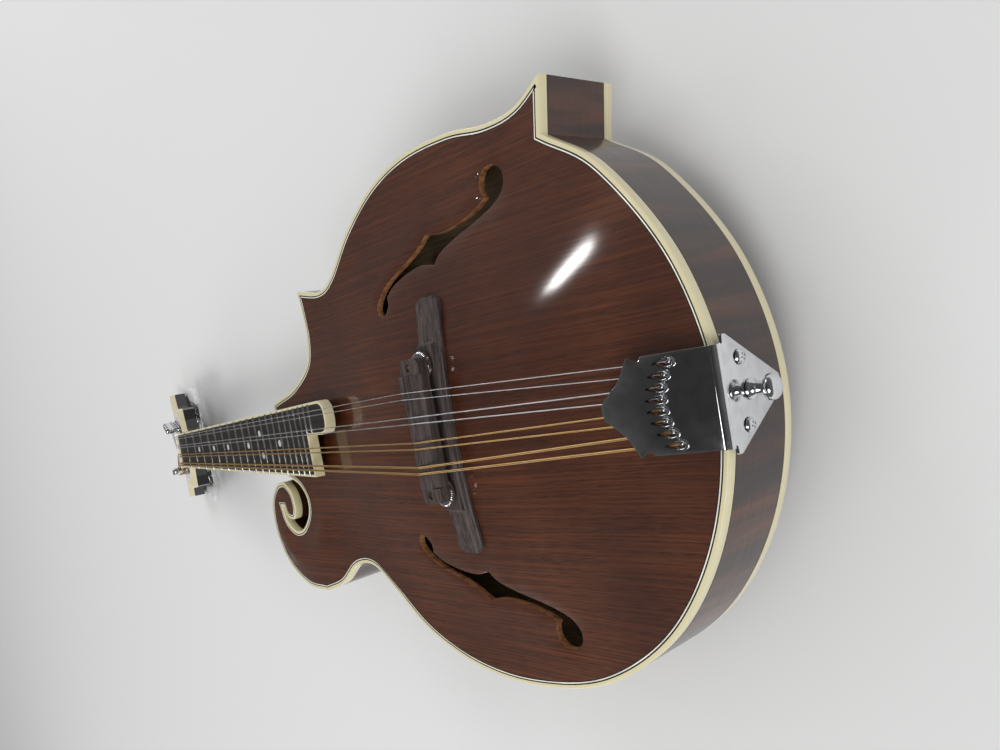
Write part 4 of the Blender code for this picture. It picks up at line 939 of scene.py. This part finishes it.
def make_body():
    """Front, back, sides, bindings and the fine lines inside the front binding."""
    holes = f_holes()

    def front_bottom(x, y):
        near = min(distance_to(Vector((x, y)), hole) for hole in holes)
        thinned = F_HOLE_THINNING * (1 - smooth(near / F_HOLE_THIN_REACH))
        return TOP_ARCH * arch_share(x, y) - BINDING_HEIGHT + thinned

    def hole_wall(middle):
        near = min((middle.xy - point).length_squared for hole in holes for point in hole)
        return int(near < F_HOLE_WALL_REACH**2 and carved_top(middle.x, middle.y) - middle.z > 0.25)

    def back_outside(x, y):
        return -RIM_DEPTH - BACK_ARCH * arch_share(x, y)

    def back_inside(x, y):
        return back_outside(x, y) + BINDING_HEIGHT

    def inner_face(middle):
        return int(middle.z > back_outside(middle.x, middle.y) + 0.5 * BINDING_HEIGHT)

    front = plate(RIM_LINE, holes, carved_top, front_bottom, F_HOLE_ROUND)
    piece("front", front, SPRUCE, "instrument", BODY, ["soundboard"], 35.0,
          looks=[LIGHT_WOOD], pick=hole_wall)
    back = plate(offset(OUTLINE, BINDING_WIDTH), [], back_inside, back_outside)
    piece("back", back, MAPLE, "instrument", BODY, ["back_plate"], 35.0,
          looks=[INSIDE_WOOD], pick=inner_face)

    low = BINDING_HEIGHT - RIM_DEPTH
    section = [(0.0, low), (0.0, -BINDING_HEIGHT), (RIB_THICKNESS, -BINDING_HEIGHT), (RIB_THICKNESS, low)]
    sides = piece("sides", strip(OUTLINE, section), MAPLE_RIBS, "instrument", BODY, ["ribs"])
    lengthwise(sides, OUTLINE)
    for name, low in (("top_binding", -BINDING_HEIGHT), ("back_binding", -RIM_DEPTH)):
        section = rounded_section(BINDING_WIDTH, low, low + BINDING_HEIGHT, BINDING_ROUND)
        made = piece(f"{name}_strip", strip(OUTLINE, section), IVOROID, "instrument", BODY, [name])
        lengthwise(made, OUTLINE)
    for index, (start, end, tone) in enumerate(PURFLING):
        section = [(start, -1.0), (start, 0.0), (end, 0.0), (end, -1.0)]
        look = BLACK if tone == "black" else WHITE_LINE
        piece(f"purfling_{index + 1}", strip(OUTLINE, section), look, "instrument", BODY)


# Neck, board and headstock

def board_half_width(s):
    """Half of the board's width at a distance from the nut, straight to fret 19 and beyond."""
    return NUT_WIDTH / 2 + (WIDTH_AT_FRET_19 - NUT_WIDTH) / 2 * s / fret_place(19)


def fret_place(number):
    return SCALE_LENGTH * (1 - 2 ** (-number / 12))


def board_path(inset):
    """The board's edge, from the nut down the bass side, round the extension and back, moved inwards."""
    end = BOARD_END + EXTENSION_LENGTH
    round_corner = [(1 - math.cos(turn), 1 - math.sin(turn)) for turn in map(math.radians, (0, 30, 60, 90))]
    corner = [(EXTENSION_CORNER * x, EXTENSION_CORNER * y) for x, y in round_corner]
    points = [(-board_half_width(0.0), 0.0), (-board_half_width(BOARD_END), -BOARD_END)]
    points.append((EXTENSION_EDGE_X, -BOARD_END))
    points += [(EXTENSION_EDGE_X + x, y - end) for x, y in corner]
    points += [(board_half_width(end) - x, y - end) for x, y in reversed(corner)]
    points.append((board_half_width(0.0), 0.0))
    path = [Vector(point) for point in points]
    if not inset:
        return path
    moved = offset(path, -inset, closed=False)
    moved[0].y = moved[-1].y = 0.0
    return moved


def make_board():
    """The board with its frets and dots, its cream edge, and the nut."""
    outside, edge = board_path(0.0), board_path(BOARD_BINDING)
    piece("board", prism(edge, -BOARD_THICKNESS, 0.0), EBONY, "instrument", NECK, ["fingerboard"],
          bevel=0.15)
    rings = []
    for outer, inner in zip(outside, edge):
        inwards = (inner - outer).normalized()
        rings.append([
            (*inner, -BOARD_THICKNESS), (*outer, -BOARD_THICKNESS), (*outer, -0.5),
            (*(outer + inwards * 0.15), -0.15), (*(outer + inwards * 0.5), 0.0), (*inner, 0.0),
        ])
    piece("board_binding", loft(rings), IVOROID, "instrument", NECK, ["fingerboard_binding"])
    frets = []
    for number in range(1, FRET_COUNT + 1):
        s = fret_place(number)
        short = number >= FIRST_SHORT_FRET
        low = EXTENSION_EDGE_X + BOARD_BINDING if short else FRET_INSET - board_half_width(s)
        high = board_half_width(s) - FRET_INSET
        stations = [(low + inset, rise) for inset, rise in FRET_ENDS]
        stations += [(high - inset, rise) for inset, rise in reversed(FRET_ENDS)]
        frets.append(loft([at_x(x, [(y - s, rise * z) for y, z in FRET_CROWN]) for x, rise in stations]))
    piece("frets", together(*frets), NICKEL, "instrument", NECK, smooth_angle=60.0)
    dots = []
    for number in (*DOT_FRETS, DOUBLE_DOT_FRET):
        y = -(fret_place(number) + fret_place(number - 1)) / 2
        for x in (-DOUBLE_DOT_X, DOUBLE_DOT_X) if number == DOUBLE_DOT_FRET else (0.0,):
            dots.append(prism(circle(DOT_RADIUS, 24, (x, y)), -0.5, DOT_RISE))
    piece("position_dots", together(*dots), PEARL_DOT, "instrument", NECK)
    make_nut()


def notch_depth(x, strings, notch):
    """How deep the nearest string's notch is at x, from its own depth and slope."""
    depth, slope = notch
    return max([0.0, *[depth - slope * abs(x - string) for string in strings]])


def make_nut():
    """A bone block with rounded top and a shallow notch for each string."""
    half = board_half_width(0.0)
    rings = []
    for x in sorted({-half, half, *[string + step for string in NUT_X for step in NOTCH_STEPS]}):
        top = NUT_TOP - notch_depth(x, NUT_X, NUT_NOTCH)
        foot = [(0.0, -BOARD_THICKNESS), (NUT_THICKNESS, -BOARD_THICKNESS)]
        rings.append(at_x(x, foot + [(y, top - drop) for y, drop in NUT_CROWN]))
    piece("nut_block", loft(rings), BONE, "instrument", NECK, ["nut"], 50.0)


def gear_wheel():
    """A toothed wheel about the post's axis."""
    outline = []
    for tooth in range(GEAR_TEETH):
        for share, reach in GEAR_TOOTH:
            angle = math.tau * (tooth + share) / GEAR_TEETH
            outline.append((GEAR_RADIUS * reach * math.cos(angle), GEAR_RADIUS * reach * math.sin(angle)))
    return prism(outline, GEAR_Z - GEAR_THICKNESS / 2, GEAR_Z + GEAR_THICKNESS / 2)


def make_tuners():
    """Posts with gears, bushings, the plates' screws, and keys."""
    bushings, screws = [], []
    for side, word in ((1, "treble"), (-1, "bass")):
        line = tuner_line(side)
        for index in range(TUNERS_PER_SIDE):
            place = line @ Matrix.Translation((0.0, index * POST_SPACING, 0.0))
            number = index + 1
            body = f"post_{word}_{number}"
            post = together(turned(POST_PROFILE, 32), turned(GEAR_SCREW, 16))
            piece(f"post_shape_{word}_{number}", post, CHROME, body, place, [f"string_{body}"])
            piece(f"post_gear_{word}_{number}", gear_wheel(), BRASS, body, place, bevel=0.12)
            bushings.append(placed(turned_ring(BUSHING_SECTION, 32), place))
            make_key(f"{word}_{number}", side, place)
        for along in PLATE_SCREWS:
            place = line @ Matrix.Translation((0.0, along, HEADSTOCK_BACK - GAP - TUNER_PLATE_THICKNESS))
            screws.append(placed(turned(PLATE_SCREW_DOME, 20), place))
    piece("tuner_bushings", together(*bushings), CHROME, "instrument", Matrix())
    piece("tuner_plate_screws", together(*screws), CHROME, "instrument", Matrix())


def make_key(name, side, post_place):
    """One key: worm with its thread, shaft with a collar, and a button of pearl plastic."""
    place = post_place @ Matrix.Translation((0.0, -KEY_BESIDE_POST, GEAR_Z))
    place = place @ Matrix.Scale(side, 4, (1.0, 0.0, 0.0))
    thread = []
    last = WORM_TURNS * WORM_STEPS
    for step in range(int(last) + 1):
        x = WORM_LENGTH * (step / last - 0.5)
        thread.append(Vector(spun([(THREAD_RADIUS, x)], math.tau * step / WORM_STEPS)[0]))
    shaft = together(turned(KEY_SHAFT, 24), tube(thread, THREAD_THICKNESS, 6))
    shaft = placed(shaft, Matrix.Rotation(math.radians(90.0), 4, "Y"))
    piece(f"key_shaft_{name}", shaft, CHROME, f"key_{name}", place, [f"tuner_key_{name}"])
    rings = []
    for along, wide, thick in BUTTON_SECTIONS:
        half_width, half_thickness = BUTTON_HALF_WIDTH * wide, BUTTON_HALF_THICKNESS * thick
        section = [(half_width * a, half_thickness * b) for a, b in squared_circle(32, BUTTON_CORNER)]
        rings.append(at_x(BUTTON_START + BUTTON_LENGTH * along, section))
    piece(f"key_button_{name}", loft(rings), PEARLOID, f"key_{name}", place, smooth_angle=50.0)


def squared_circle(sides, power):
    """A section between a circle and a square, squarer as the power falls."""
    return [tuple(math.copysign(abs(part) ** power, part) for part in point) for point in circle(1.0, sides)]


def make_rod_cover_screws():
    screws = []
    for x, y in COVER_SCREWS:
        place = HEAD @ Matrix.Translation((x, y, GAP + COVER_THICKNESS))
        screws.append(placed(turned(COVER_SCREW_DOME, 16), place))
    piece("rod_cover_screws", together(*screws), NICKEL, "instrument", Matrix())


# Bridge

def bridge_seat(x, y):
    return TOP_ARCH * arch_share(x, y) + GAP


def drawn_in(x, half_length, draw):
    """How far a bar's sides have drawn in at x, towards its rounded ends."""
    depth, reach, power = draw
    return depth * max(0.0, abs(x) - half_length + reach) ** power


def make_bridge():
    """Base with thin stepped feet, threaded posts, knurled wheels, and the saddle with its wavy crown."""
    rings = []
    for x in sorted({side * x for x in BRIDGE_STATIONS for side in (-1, 1)}):
        tail, block, head = (bridge_seat(x, y) for y in (BRIDGE_TAIL_Y, BRIDGE_BLOCK_TAIL_Y, BRIDGE_HEAD_Y))
        past = max(0.0, abs(x) - BRIDGE_BLOCK_HALF_LENGTH)
        end = max(tail, block, head) + BRIDGE_END_THICKNESS
        top = end + (BRIDGE_BASE_TOP - end) * max(0.0, 1 - past / BRIDGE_STEP_RUN) ** 2
        foot = tail + BRIDGE_FOOT_THICKNESS
        draw = drawn_in(x, BRIDGE_HALF_LENGTH, BRIDGE_DRAW)
        back, front = BRIDGE_TAIL_Y + draw, BRIDGE_HEAD_Y - draw
        rings.append(at_x(x, [
            (back, tail), (front, head), (front, top - 0.5), (front - 0.5, top),
            (BRIDGE_BLOCK_TAIL_Y + 0.5, top), (BRIDGE_BLOCK_TAIL_Y, top - 0.5),
            (BRIDGE_BLOCK_TAIL_Y - 0.1, min(top - 0.6, foot + 0.9)), (BRIDGE_BLOCK_TAIL_Y - 0.9, foot + 0.1),
            (back + 0.6, foot), (back, foot - 0.6),
        ]))
    piece("bridge_foot", loft(rings), BRIDGE_WOOD, "instrument", BODY, ["bridge_base"], 38.0)
    thread = []
    for turn in range(round((BRIDGE_POST_TOP - BRIDGE_BASE_TOP) / THREAD_PITCH)):
        z = BRIDGE_BASE_TOP + THREAD_PITCH * turn
        thread += [(radius, z + rise) for radius, rise in (THREAD_ROOT, THREAD_CREST)]
    thread += [(1.3, BRIDGE_POST_TOP - 0.1), (0.9, BRIDGE_POST_TOP)]
    for side, word in ((1, "treble"), (-1, "bass")):
        place = BODY @ Matrix.Translation((side * BRIDGE_POST_X, BRIDGE_POST_Y, 0.0))
        piece(f"threaded_post_{word}", turned(thread, 24), BRASS, "instrument", place,
              [f"bridge_post_{word}"])
        make_wheel(word, place)
    make_saddle()


def make_wheel(word, place):
    """A thumbwheel with a knurled rim and a bevelled edge."""
    low, high = WHEEL_Z, WHEEL_Z + WHEEL_THICKNESS
    rings = []
    steps = WHEEL_TEETH * 4
    for step in range(steps):
        reach = WHEEL_RADIUS - WHEEL_KNURL * (step % 4 in (1, 2))
        section = [(1.7, low), (WHEEL_RADIUS - 0.9, low), (reach, low + 0.5), (reach, high - 0.5),
                   (WHEEL_RADIUS - 0.9, high), (3.2, high), (3.0, high - 0.25), (1.7, high - 0.25)]
        rings.append(spun(section, math.tau * step / steps))
    piece(f"knurled_wheel_{word}", loft(rings, closed=True), CHROME, f"wheel_{word}", place,
          [f"thumbwheel_{word}"], 30.0)


def saddle_section(x):
    """The saddle at one x: a plain ear, or the crown under the strings."""
    if abs(x) > SADDLE_EAR_START:
        rise, run = SADDLE_EAR_FILLET
        top = SADDLE_EAR_TOP + rise * smooth(1 - (abs(x) - SADDLE_EAR_START) / run)
        draw = drawn_in(x, SADDLE_HALF_LENGTH, SADDLE_DRAW)
        back, front = SADDLE_TAIL_Y + draw, SADDLE_HEAD_Y - draw
        return at_x(x, [(back, SADDLE_LOW), (front, SADDLE_LOW), (front, top - 0.6), (front - 0.6, top),
                          (-1.0, top), (SADDLE_TOP_TAIL_Y, top), (back + 2.6, top - 0.4), (back, top - 1.5)])
    line = crown_line(x)
    top = SADDLE_CROWN_TOP + 0.5 - notch_depth(x, SADDLE_X, SADDLE_NOTCH)
    shoulder = SADDLE_CROWN_TOP - 1.1
    return at_x(x, [
        (SADDLE_TAIL_Y, SADDLE_LOW), (SADDLE_HEAD_Y, SADDLE_LOW), (SADDLE_HEAD_Y, shoulder - 0.5),
        (max(line + 0.5, SADDLE_HEAD_Y - 0.5), shoulder), (line + 0.35, top), (line - 0.45, top - 0.05),
        (min(line - 1.8, SADDLE_TOP_TAIL_Y), shoulder + 0.2), (SADDLE_TAIL_Y + 0.2, shoulder - 3.2),
    ])


def crown_line(x):
    """Where the strings leave the saddle, stepped from pair to pair."""
    places = sorted(zip(SADDLE_X, SADDLE_LINE_Y))
    if x <= places[0][0]:
        return places[0][1]
    for (low, one), (high, two) in zip(places, places[1:]):
        if x <= high:
            return one + (two - one) * smooth((x - low) / (high - low))
    return places[-1][1]


def make_saddle():
    """The saddle, with a bore for each post."""
    stations = [*SADDLE_STATIONS, *[x + step for x in SADDLE_X if x > 0 for step in NOTCH_STEPS]]
    rings = [saddle_section(x) for x in sorted({side * x for x in stations for side in (-1, 1)})]
    made = piece("saddle_shape", loft(rings), BRIDGE_WOOD, "saddle", BODY,
                 ["bridge_saddle"], 45.0)
    bore = turned(SADDLE_POST_HOLE, 32)
    places = [Matrix.Translation((side * BRIDGE_POST_X, BRIDGE_POST_Y, 0.0)) for side in (1, -1)]
    cut(made, together(*[placed(bore, place) for place in places]))


def cut(made, solid):
    """Cuts a solid in body millimetres out of a piece, for good."""
    mesh = bpy.data.meshes.new("cutter")
    mesh.from_pydata([BODY @ point for point in solid[0]], [], solid[1])
    face_outwards(mesh)
    cutter = add_object("cutter", mesh)
    modifier = made.modifiers.new("cut", "BOOLEAN")
    modifier.operation = "DIFFERENCE"
    modifier.solver = "EXACT"
    modifier.object = cutter
    bpy.context.view_layer.update()
    graph = bpy.context.evaluated_depsgraph_get()
    shaped = bpy.data.meshes.new_from_object(made.evaluated_get(graph))
    made.modifiers.remove(modifier)
    made.data = shaped
    bpy.data.objects.remove(cutter)


# Tailpiece

def hook_y(x):
    return HOOK_ARC_Y - HOOK_ARC_BEND * x**2


def teardrop(x, grow):
    """A window's outline: a long drop whose point looks towards the bridge."""
    right = [((WINDOW_HALF_WIDTH + grow) * a, (WINDOW_HALF_LENGTH + grow) * b) for a, b in WINDOW_SHAPE]
    left = [(-a, b) for a, b in reversed(right) if a > 0]
    return [Vector((x + a, hook_y(x) + b)) for a, b in (*right, *left)]


def make_tailpiece():
    """Cast cover with rimmed windows and hooks, its bend down the rim, bracket, screws and end pin."""
    side = [Vector((TAIL_COVER_HALF_WIDTH, 0.0)), *curve_through(COVER_FRONT[:3], 1.0),
            *curve_through(COVER_FRONT[2:], 1.5), Vector(COVER_FRONT[-1])]
    rim = side + mirrored([point for point in side if point.x > 0])
    windows = [teardrop(x, 0.0) for x in HOOK_X]
    shape = flat_sheet(rim, windows, -TAIL_COVER_THICKNESS, 0.0, COVER_EDGE)
    piece("cover", shape, CHROME, "instrument", COVER, ["tailpiece_cover"], 32.0)
    bands = [raised_rim(window, teardrop(x, WINDOW_RIM_WIDTH)) for x, window in zip(HOOK_X, windows)]
    piece("window_rims", together(*bands), CHROME, "instrument", COVER, smooth_angle=60.0)
    last = COVER_BEND_OVERRUN * (math.pi / 2 - TAIL_COVER_ANGLE)
    upper, lower = [], []
    for step in range(COVER_BEND_STEPS + 1):
        turn = last * step / COVER_BEND_STEPS
        drop = COVER_BEND * (math.cos(turn) - 1)
        upper.append((-COVER_BEND * math.sin(turn), drop))
        lower.append(((TAIL_COVER_THICKNESS - COVER_BEND) * math.sin(turn),
                      drop - TAIL_COVER_THICKNESS * math.cos(turn)))
    rings = [at_x(x, [*upper, *reversed(lower)]) for x in (-TAIL_COVER_HALF_WIDTH, TAIL_COVER_HALF_WIDTH)]
    piece("cover_bend", loft(rings), CHROME, "instrument", COVER, smooth_angle=32.0, bevel=0.35)
    hooks = []
    for x in HOOK_X:
        path = [Vector((x, hook_y(x) + y, z)) for y, z in HOOK_SHAPE]
        hooks.append(tube(curve_through(path, HOOK_STEP) + [path[-1]], HOOK_RADIUS, 10))
    bar = strip([Vector((x, hook_y(x) - HOOK_BAR_BACK)) for x in HOOK_BAR_X], HOOK_BAR_SECTION, False)
    piece("string_hooks", together(bar, *hooks), CHROME, "instrument", COVER)
    make_bracket()


def flat_sheet(rim, holes, low, high, edge):
    """A flat sheet with holes, its upper outer edge rounded over."""
    middle, inner = outward(rim, -0.3 * edge), outward(rim, -edge)
    levels = [level(rim, low), level(rim, high - edge), level(middle, high - 0.3 * edge), level(inner, high)]
    solids = [lid([inner, *holes], lambda x, y: high), lid([rim, *holes], lambda x, y: low, turned_over=True)]
    solids += [wall(above, below) for below, above in zip(levels, levels[1:])]
    solids += [wall(level(hole, high), level(hole, low)) for hole in holes]
    return together(*solids)


def raised_rim(window, outside):
    """A rounded raised border between two loops on the cover."""
    rings = []
    for inner, outer in zip(window, outside):
        band = outer - inner
        section = ((-0.1, -1.2), (-0.1, 0.5 * WINDOW_RIM_HEIGHT), (0.25, WINDOW_RIM_HEIGHT),
                   (0.7, WINDOW_RIM_HEIGHT), (1.0, 0.3 * WINDOW_RIM_HEIGHT), (1.0, -0.3))
        rings.append([(*(inner + band * share), height) for share, height in section])
    return loft(rings, closed=True)


def make_bracket():
    """The bracket on the rim with its screws, a black cross of painted shade on each, and the stepped end
    pin.
    """
    loop = [*map(Vector, BRACKET_SIDE), Vector(BRACKET_TIP), *mirrored(BRACKET_SIDE)]
    holes = [circle(SCREW_HOLE, 20, (x, BRACKET_SCREW_Z)) for x in (-BRACKET_SCREW_X, BRACKET_SCREW_X)]
    holes.append(circle(PIN_HOLE, 24, (0.0, END_PIN_Z)))
    sheet = flat_sheet(loop, holes, 0.0, BRACKET_THICKNESS, BRACKET_EDGE)
    upright = BODY @ tilted(BRACKET_FACE_Y, 0.0, math.pi / 2)
    piece("bracket", sheet, CHROME, "instrument", upright, ["tailpiece_bracket"], 32.0)
    # Painted shade: a black cross set into each dome stands for its cross recess
    arm = prism(oblong(CROSS_LOW, CROSS_HIGH), CROSS_LOW[2], CROSS_HIGH[2])
    cross = [placed(arm, Matrix.Rotation(math.radians(turn), 4, "Z")) for turn in CROSS_TURNS]
    for x, word in ((BRACKET_SCREW_X, "treble"), (-BRACKET_SCREW_X, "bass")):
        place = upright @ Matrix.Translation((x, BRACKET_SCREW_Z, 0.0))
        piece(f"domed_screw_{word}", turned(BRACKET_SCREW_DOME, 32), CHROME, "instrument", place,
              [f"tailpiece_screw_{word}"], 50.0)
        piece(f"screw_cross_painted_shade_{word}", together(*cross), BLACK, "instrument", place)
    place = upright @ Matrix.Translation((0.0, END_PIN_Z, 0.0))
    piece("end_pin_shape", turned(END_PIN_PROFILE, 48), CHROME, "instrument", place, ["end_pin"])


def oblong(low, high):
    return [(low[0], low[1]), (high[0], low[1]), (high[0], high[1]), (low[0], high[1])]


# Strings

def winding(index, side, radius, start):
    """The string's loops round its post, from the top one down, in the headstock's frame."""
    along = POST_SPACING * (index if side > 0 else len(STRING_NAMES) - 1 - index)
    post_x = side * (FIRST_POST_X + along * math.sin(PLATE_SPLAY))
    post_y = FIRST_POST_S + along * math.cos(PLATE_SPLAY)
    reach = POST_RADIUS + GAP + radius
    pitch = 2 * radius + WINDING_SPACING
    top = start + WINDING_LOOPS * pitch
    points = []
    for step in range(WINDING_LOOPS * WINDING_LOOP_POINTS + 1):
        turn = step / WINDING_LOOP_POINTS
        angle = (math.pi - math.tau * turn) if side > 0 else math.tau * turn
        x, y = post_x + reach * math.cos(angle), post_y + reach * math.sin(angle)
        points.append(Vector((x, y, top - pitch * turn)))
    return points


def make_strings():
    """Each string in two stretches that meet on the saddle."""
    for index, name in enumerate(STRING_NAMES):
        side = 1 if index < TUNERS_PER_SIDE else -1
        radius = STRING_RADII[index]
        look, slot = (STEEL, "steel") if side > 0 else (BRONZE, "bronze")
        start = WINDING_START + WINDING_RISE * min(index, len(STRING_NAMES) - 1 - index)
        saddle = BODY @ Vector((SADDLE_X[index], SADDLE_LINE_Y[index], STRING_HEIGHT_AT_SADDLE))
        ends = (STRING_NUT_INSET, NUT_THICKNESS - STRING_NUT_INSET)
        nut = [NECK @ Vector((NUT_X[index], y, STRING_HEIGHT_AT_NUT)) for y in ends]
        loops = [HEAD @ point for point in winding(index, side, radius, start)]
        back_from_hook, hook_z = STRING_END
        hook = COVER @ Vector((HOOK_X[index], hook_y(HOOK_X[index]) - back_from_hook, hook_z))
        front, back = [
            piece(f"{word}_{name}", tube(path, radius * MM, STRING_SIDES), look, None, Matrix(),
                  smooth_angle=80.0)
            for word, path in (("speaking", [saddle, *nut, *loops]), ("afterlength", [hook, saddle]))
        ]
        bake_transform(front)
        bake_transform(back)
        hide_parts(f"string_{name}")


# Camera, light and floor

def set_camera():
    """The photo's viewpoint, from its fitted place, turn and focal length."""
    sine, cosine = math.sin(CAMERA_TILT), math.cos(CAMERA_TILT)
    facing = Matrix(((0.0, -sine, -cosine), (-1.0, 0.0, 0.0), (0.0, cosine, -sine)))
    turn = Vector(CAMERA_TURN)
    rows = Matrix.Rotation(turn.length, 3, turn.normalized()) @ facing
    right, down, forward = rows
    camera = bpy.data.cameras.new("camera")
    camera.sensor_fit = "HORIZONTAL"
    camera.sensor_width = SENSOR_WIDTH
    camera.lens = SENSOR_WIDTH * FOCAL_PX / IMAGE_SIZE[0]
    camera.shift_x = (IMAGE_SIZE[0] / 2 - CENTRE_PX[0]) / IMAGE_SIZE[0]
    camera.shift_y = (CENTRE_PX[1] - IMAGE_SIZE[1] / 2) / IMAGE_SIZE[0]
    camera.clip_end = VIEW_REACH
    holder = add_object("camera", camera)
    axes = Matrix((right, -down, -forward)).transposed().to_4x4()
    holder.matrix_world = Matrix.Translation(BODY @ Vector(CAMERA_PLACE)) @ axes
    bpy.context.scene.camera = holder


def area_light(name, place, target, size, watts):
    """A soft rectangular lamp aimed at a point."""
    lamp = bpy.data.lights.new(name, "AREA")
    lamp.shape = "RECTANGLE"
    lamp.size, lamp.size_y = size
    lamp.energy = watts
    holder = add_object(name, lamp)
    holder.location = place
    holder.rotation_euler = (Vector(target) - Vector(place)).to_track_quat("-Z", "Y").to_euler()
    return holder


def set_light():
    """Even studio light with a small lamp that glows on the front, in a pale room that gloss shows darker."""
    for name, place, target, size, watts in LAMPS:
        area_light(name, place, target, size, watts)
    world = bpy.data.worlds.new("studio")
    world.use_nodes = True
    bpy.context.scene.world = world
    nodes = Nodes(world.node_tree)
    room = nodes.tree.nodes["Background"]
    room.inputs["Color"].default_value = (*ROOM_COLOUR, 1.0)
    room.inputs["Strength"].default_value = ROOM_LIGHT
    backdrop = nodes.add("ShaderNodeBackground", {"Color": (*BACKDROP_COLOUR, 1.0)})
    facing = nodes.add("ShaderNodeTexCoord").outputs["Generated"]
    height = nodes.add("ShaderNodeSeparateXYZ", {"Vector": facing}).outputs["Z"]
    share = nodes.add("ShaderNodeMath", {0: height, 1: 0.5, 2: 0.5}, operation="MULTIPLY_ADD").outputs[0]
    gloss = nodes.add("ShaderNodeBackground", {"Color": nodes.grey_ramp(share, ROOM_GLOSS)})
    rays = nodes.add("ShaderNodeLightPath")
    light = room.outputs[0]
    for kind, shown in (("Is Glossy Ray", gloss), ("Is Camera Ray", backdrop)):
        inputs = {0: rays.outputs[kind], 1: light, 2: shown.outputs[0]}
        light = nodes.add("ShaderNodeMixShader", inputs).outputs[0]
    nodes.tree.links.new(light, nodes.tree.nodes["World Output"].inputs["Surface"])
    bpy.context.scene.view_settings.view_transform = "Standard"


def make_floor():
    """A plain pale floor that reaches far past the view."""
    corners = [(x * FLOOR_REACH, y * FLOOR_REACH, 0.0) for x, y in ((-1, -1), (1, -1), (1, 1), (-1, 1))]
    mesh = bpy.data.meshes.new("floor")
    mesh.from_pydata(corners, [], [(0, 1, 2, 3)])
    mesh.materials.append(Finish("floor", BACKDROP_COLOUR, 0.9).material)
    add_object("floor", mesh)


dress_nodes()
make_body()
make_board()
make_rod_cover_screws()
make_tuners()
make_bridge()
make_tailpiece()
make_strings()
set_camera()
set_light()
make_floor()
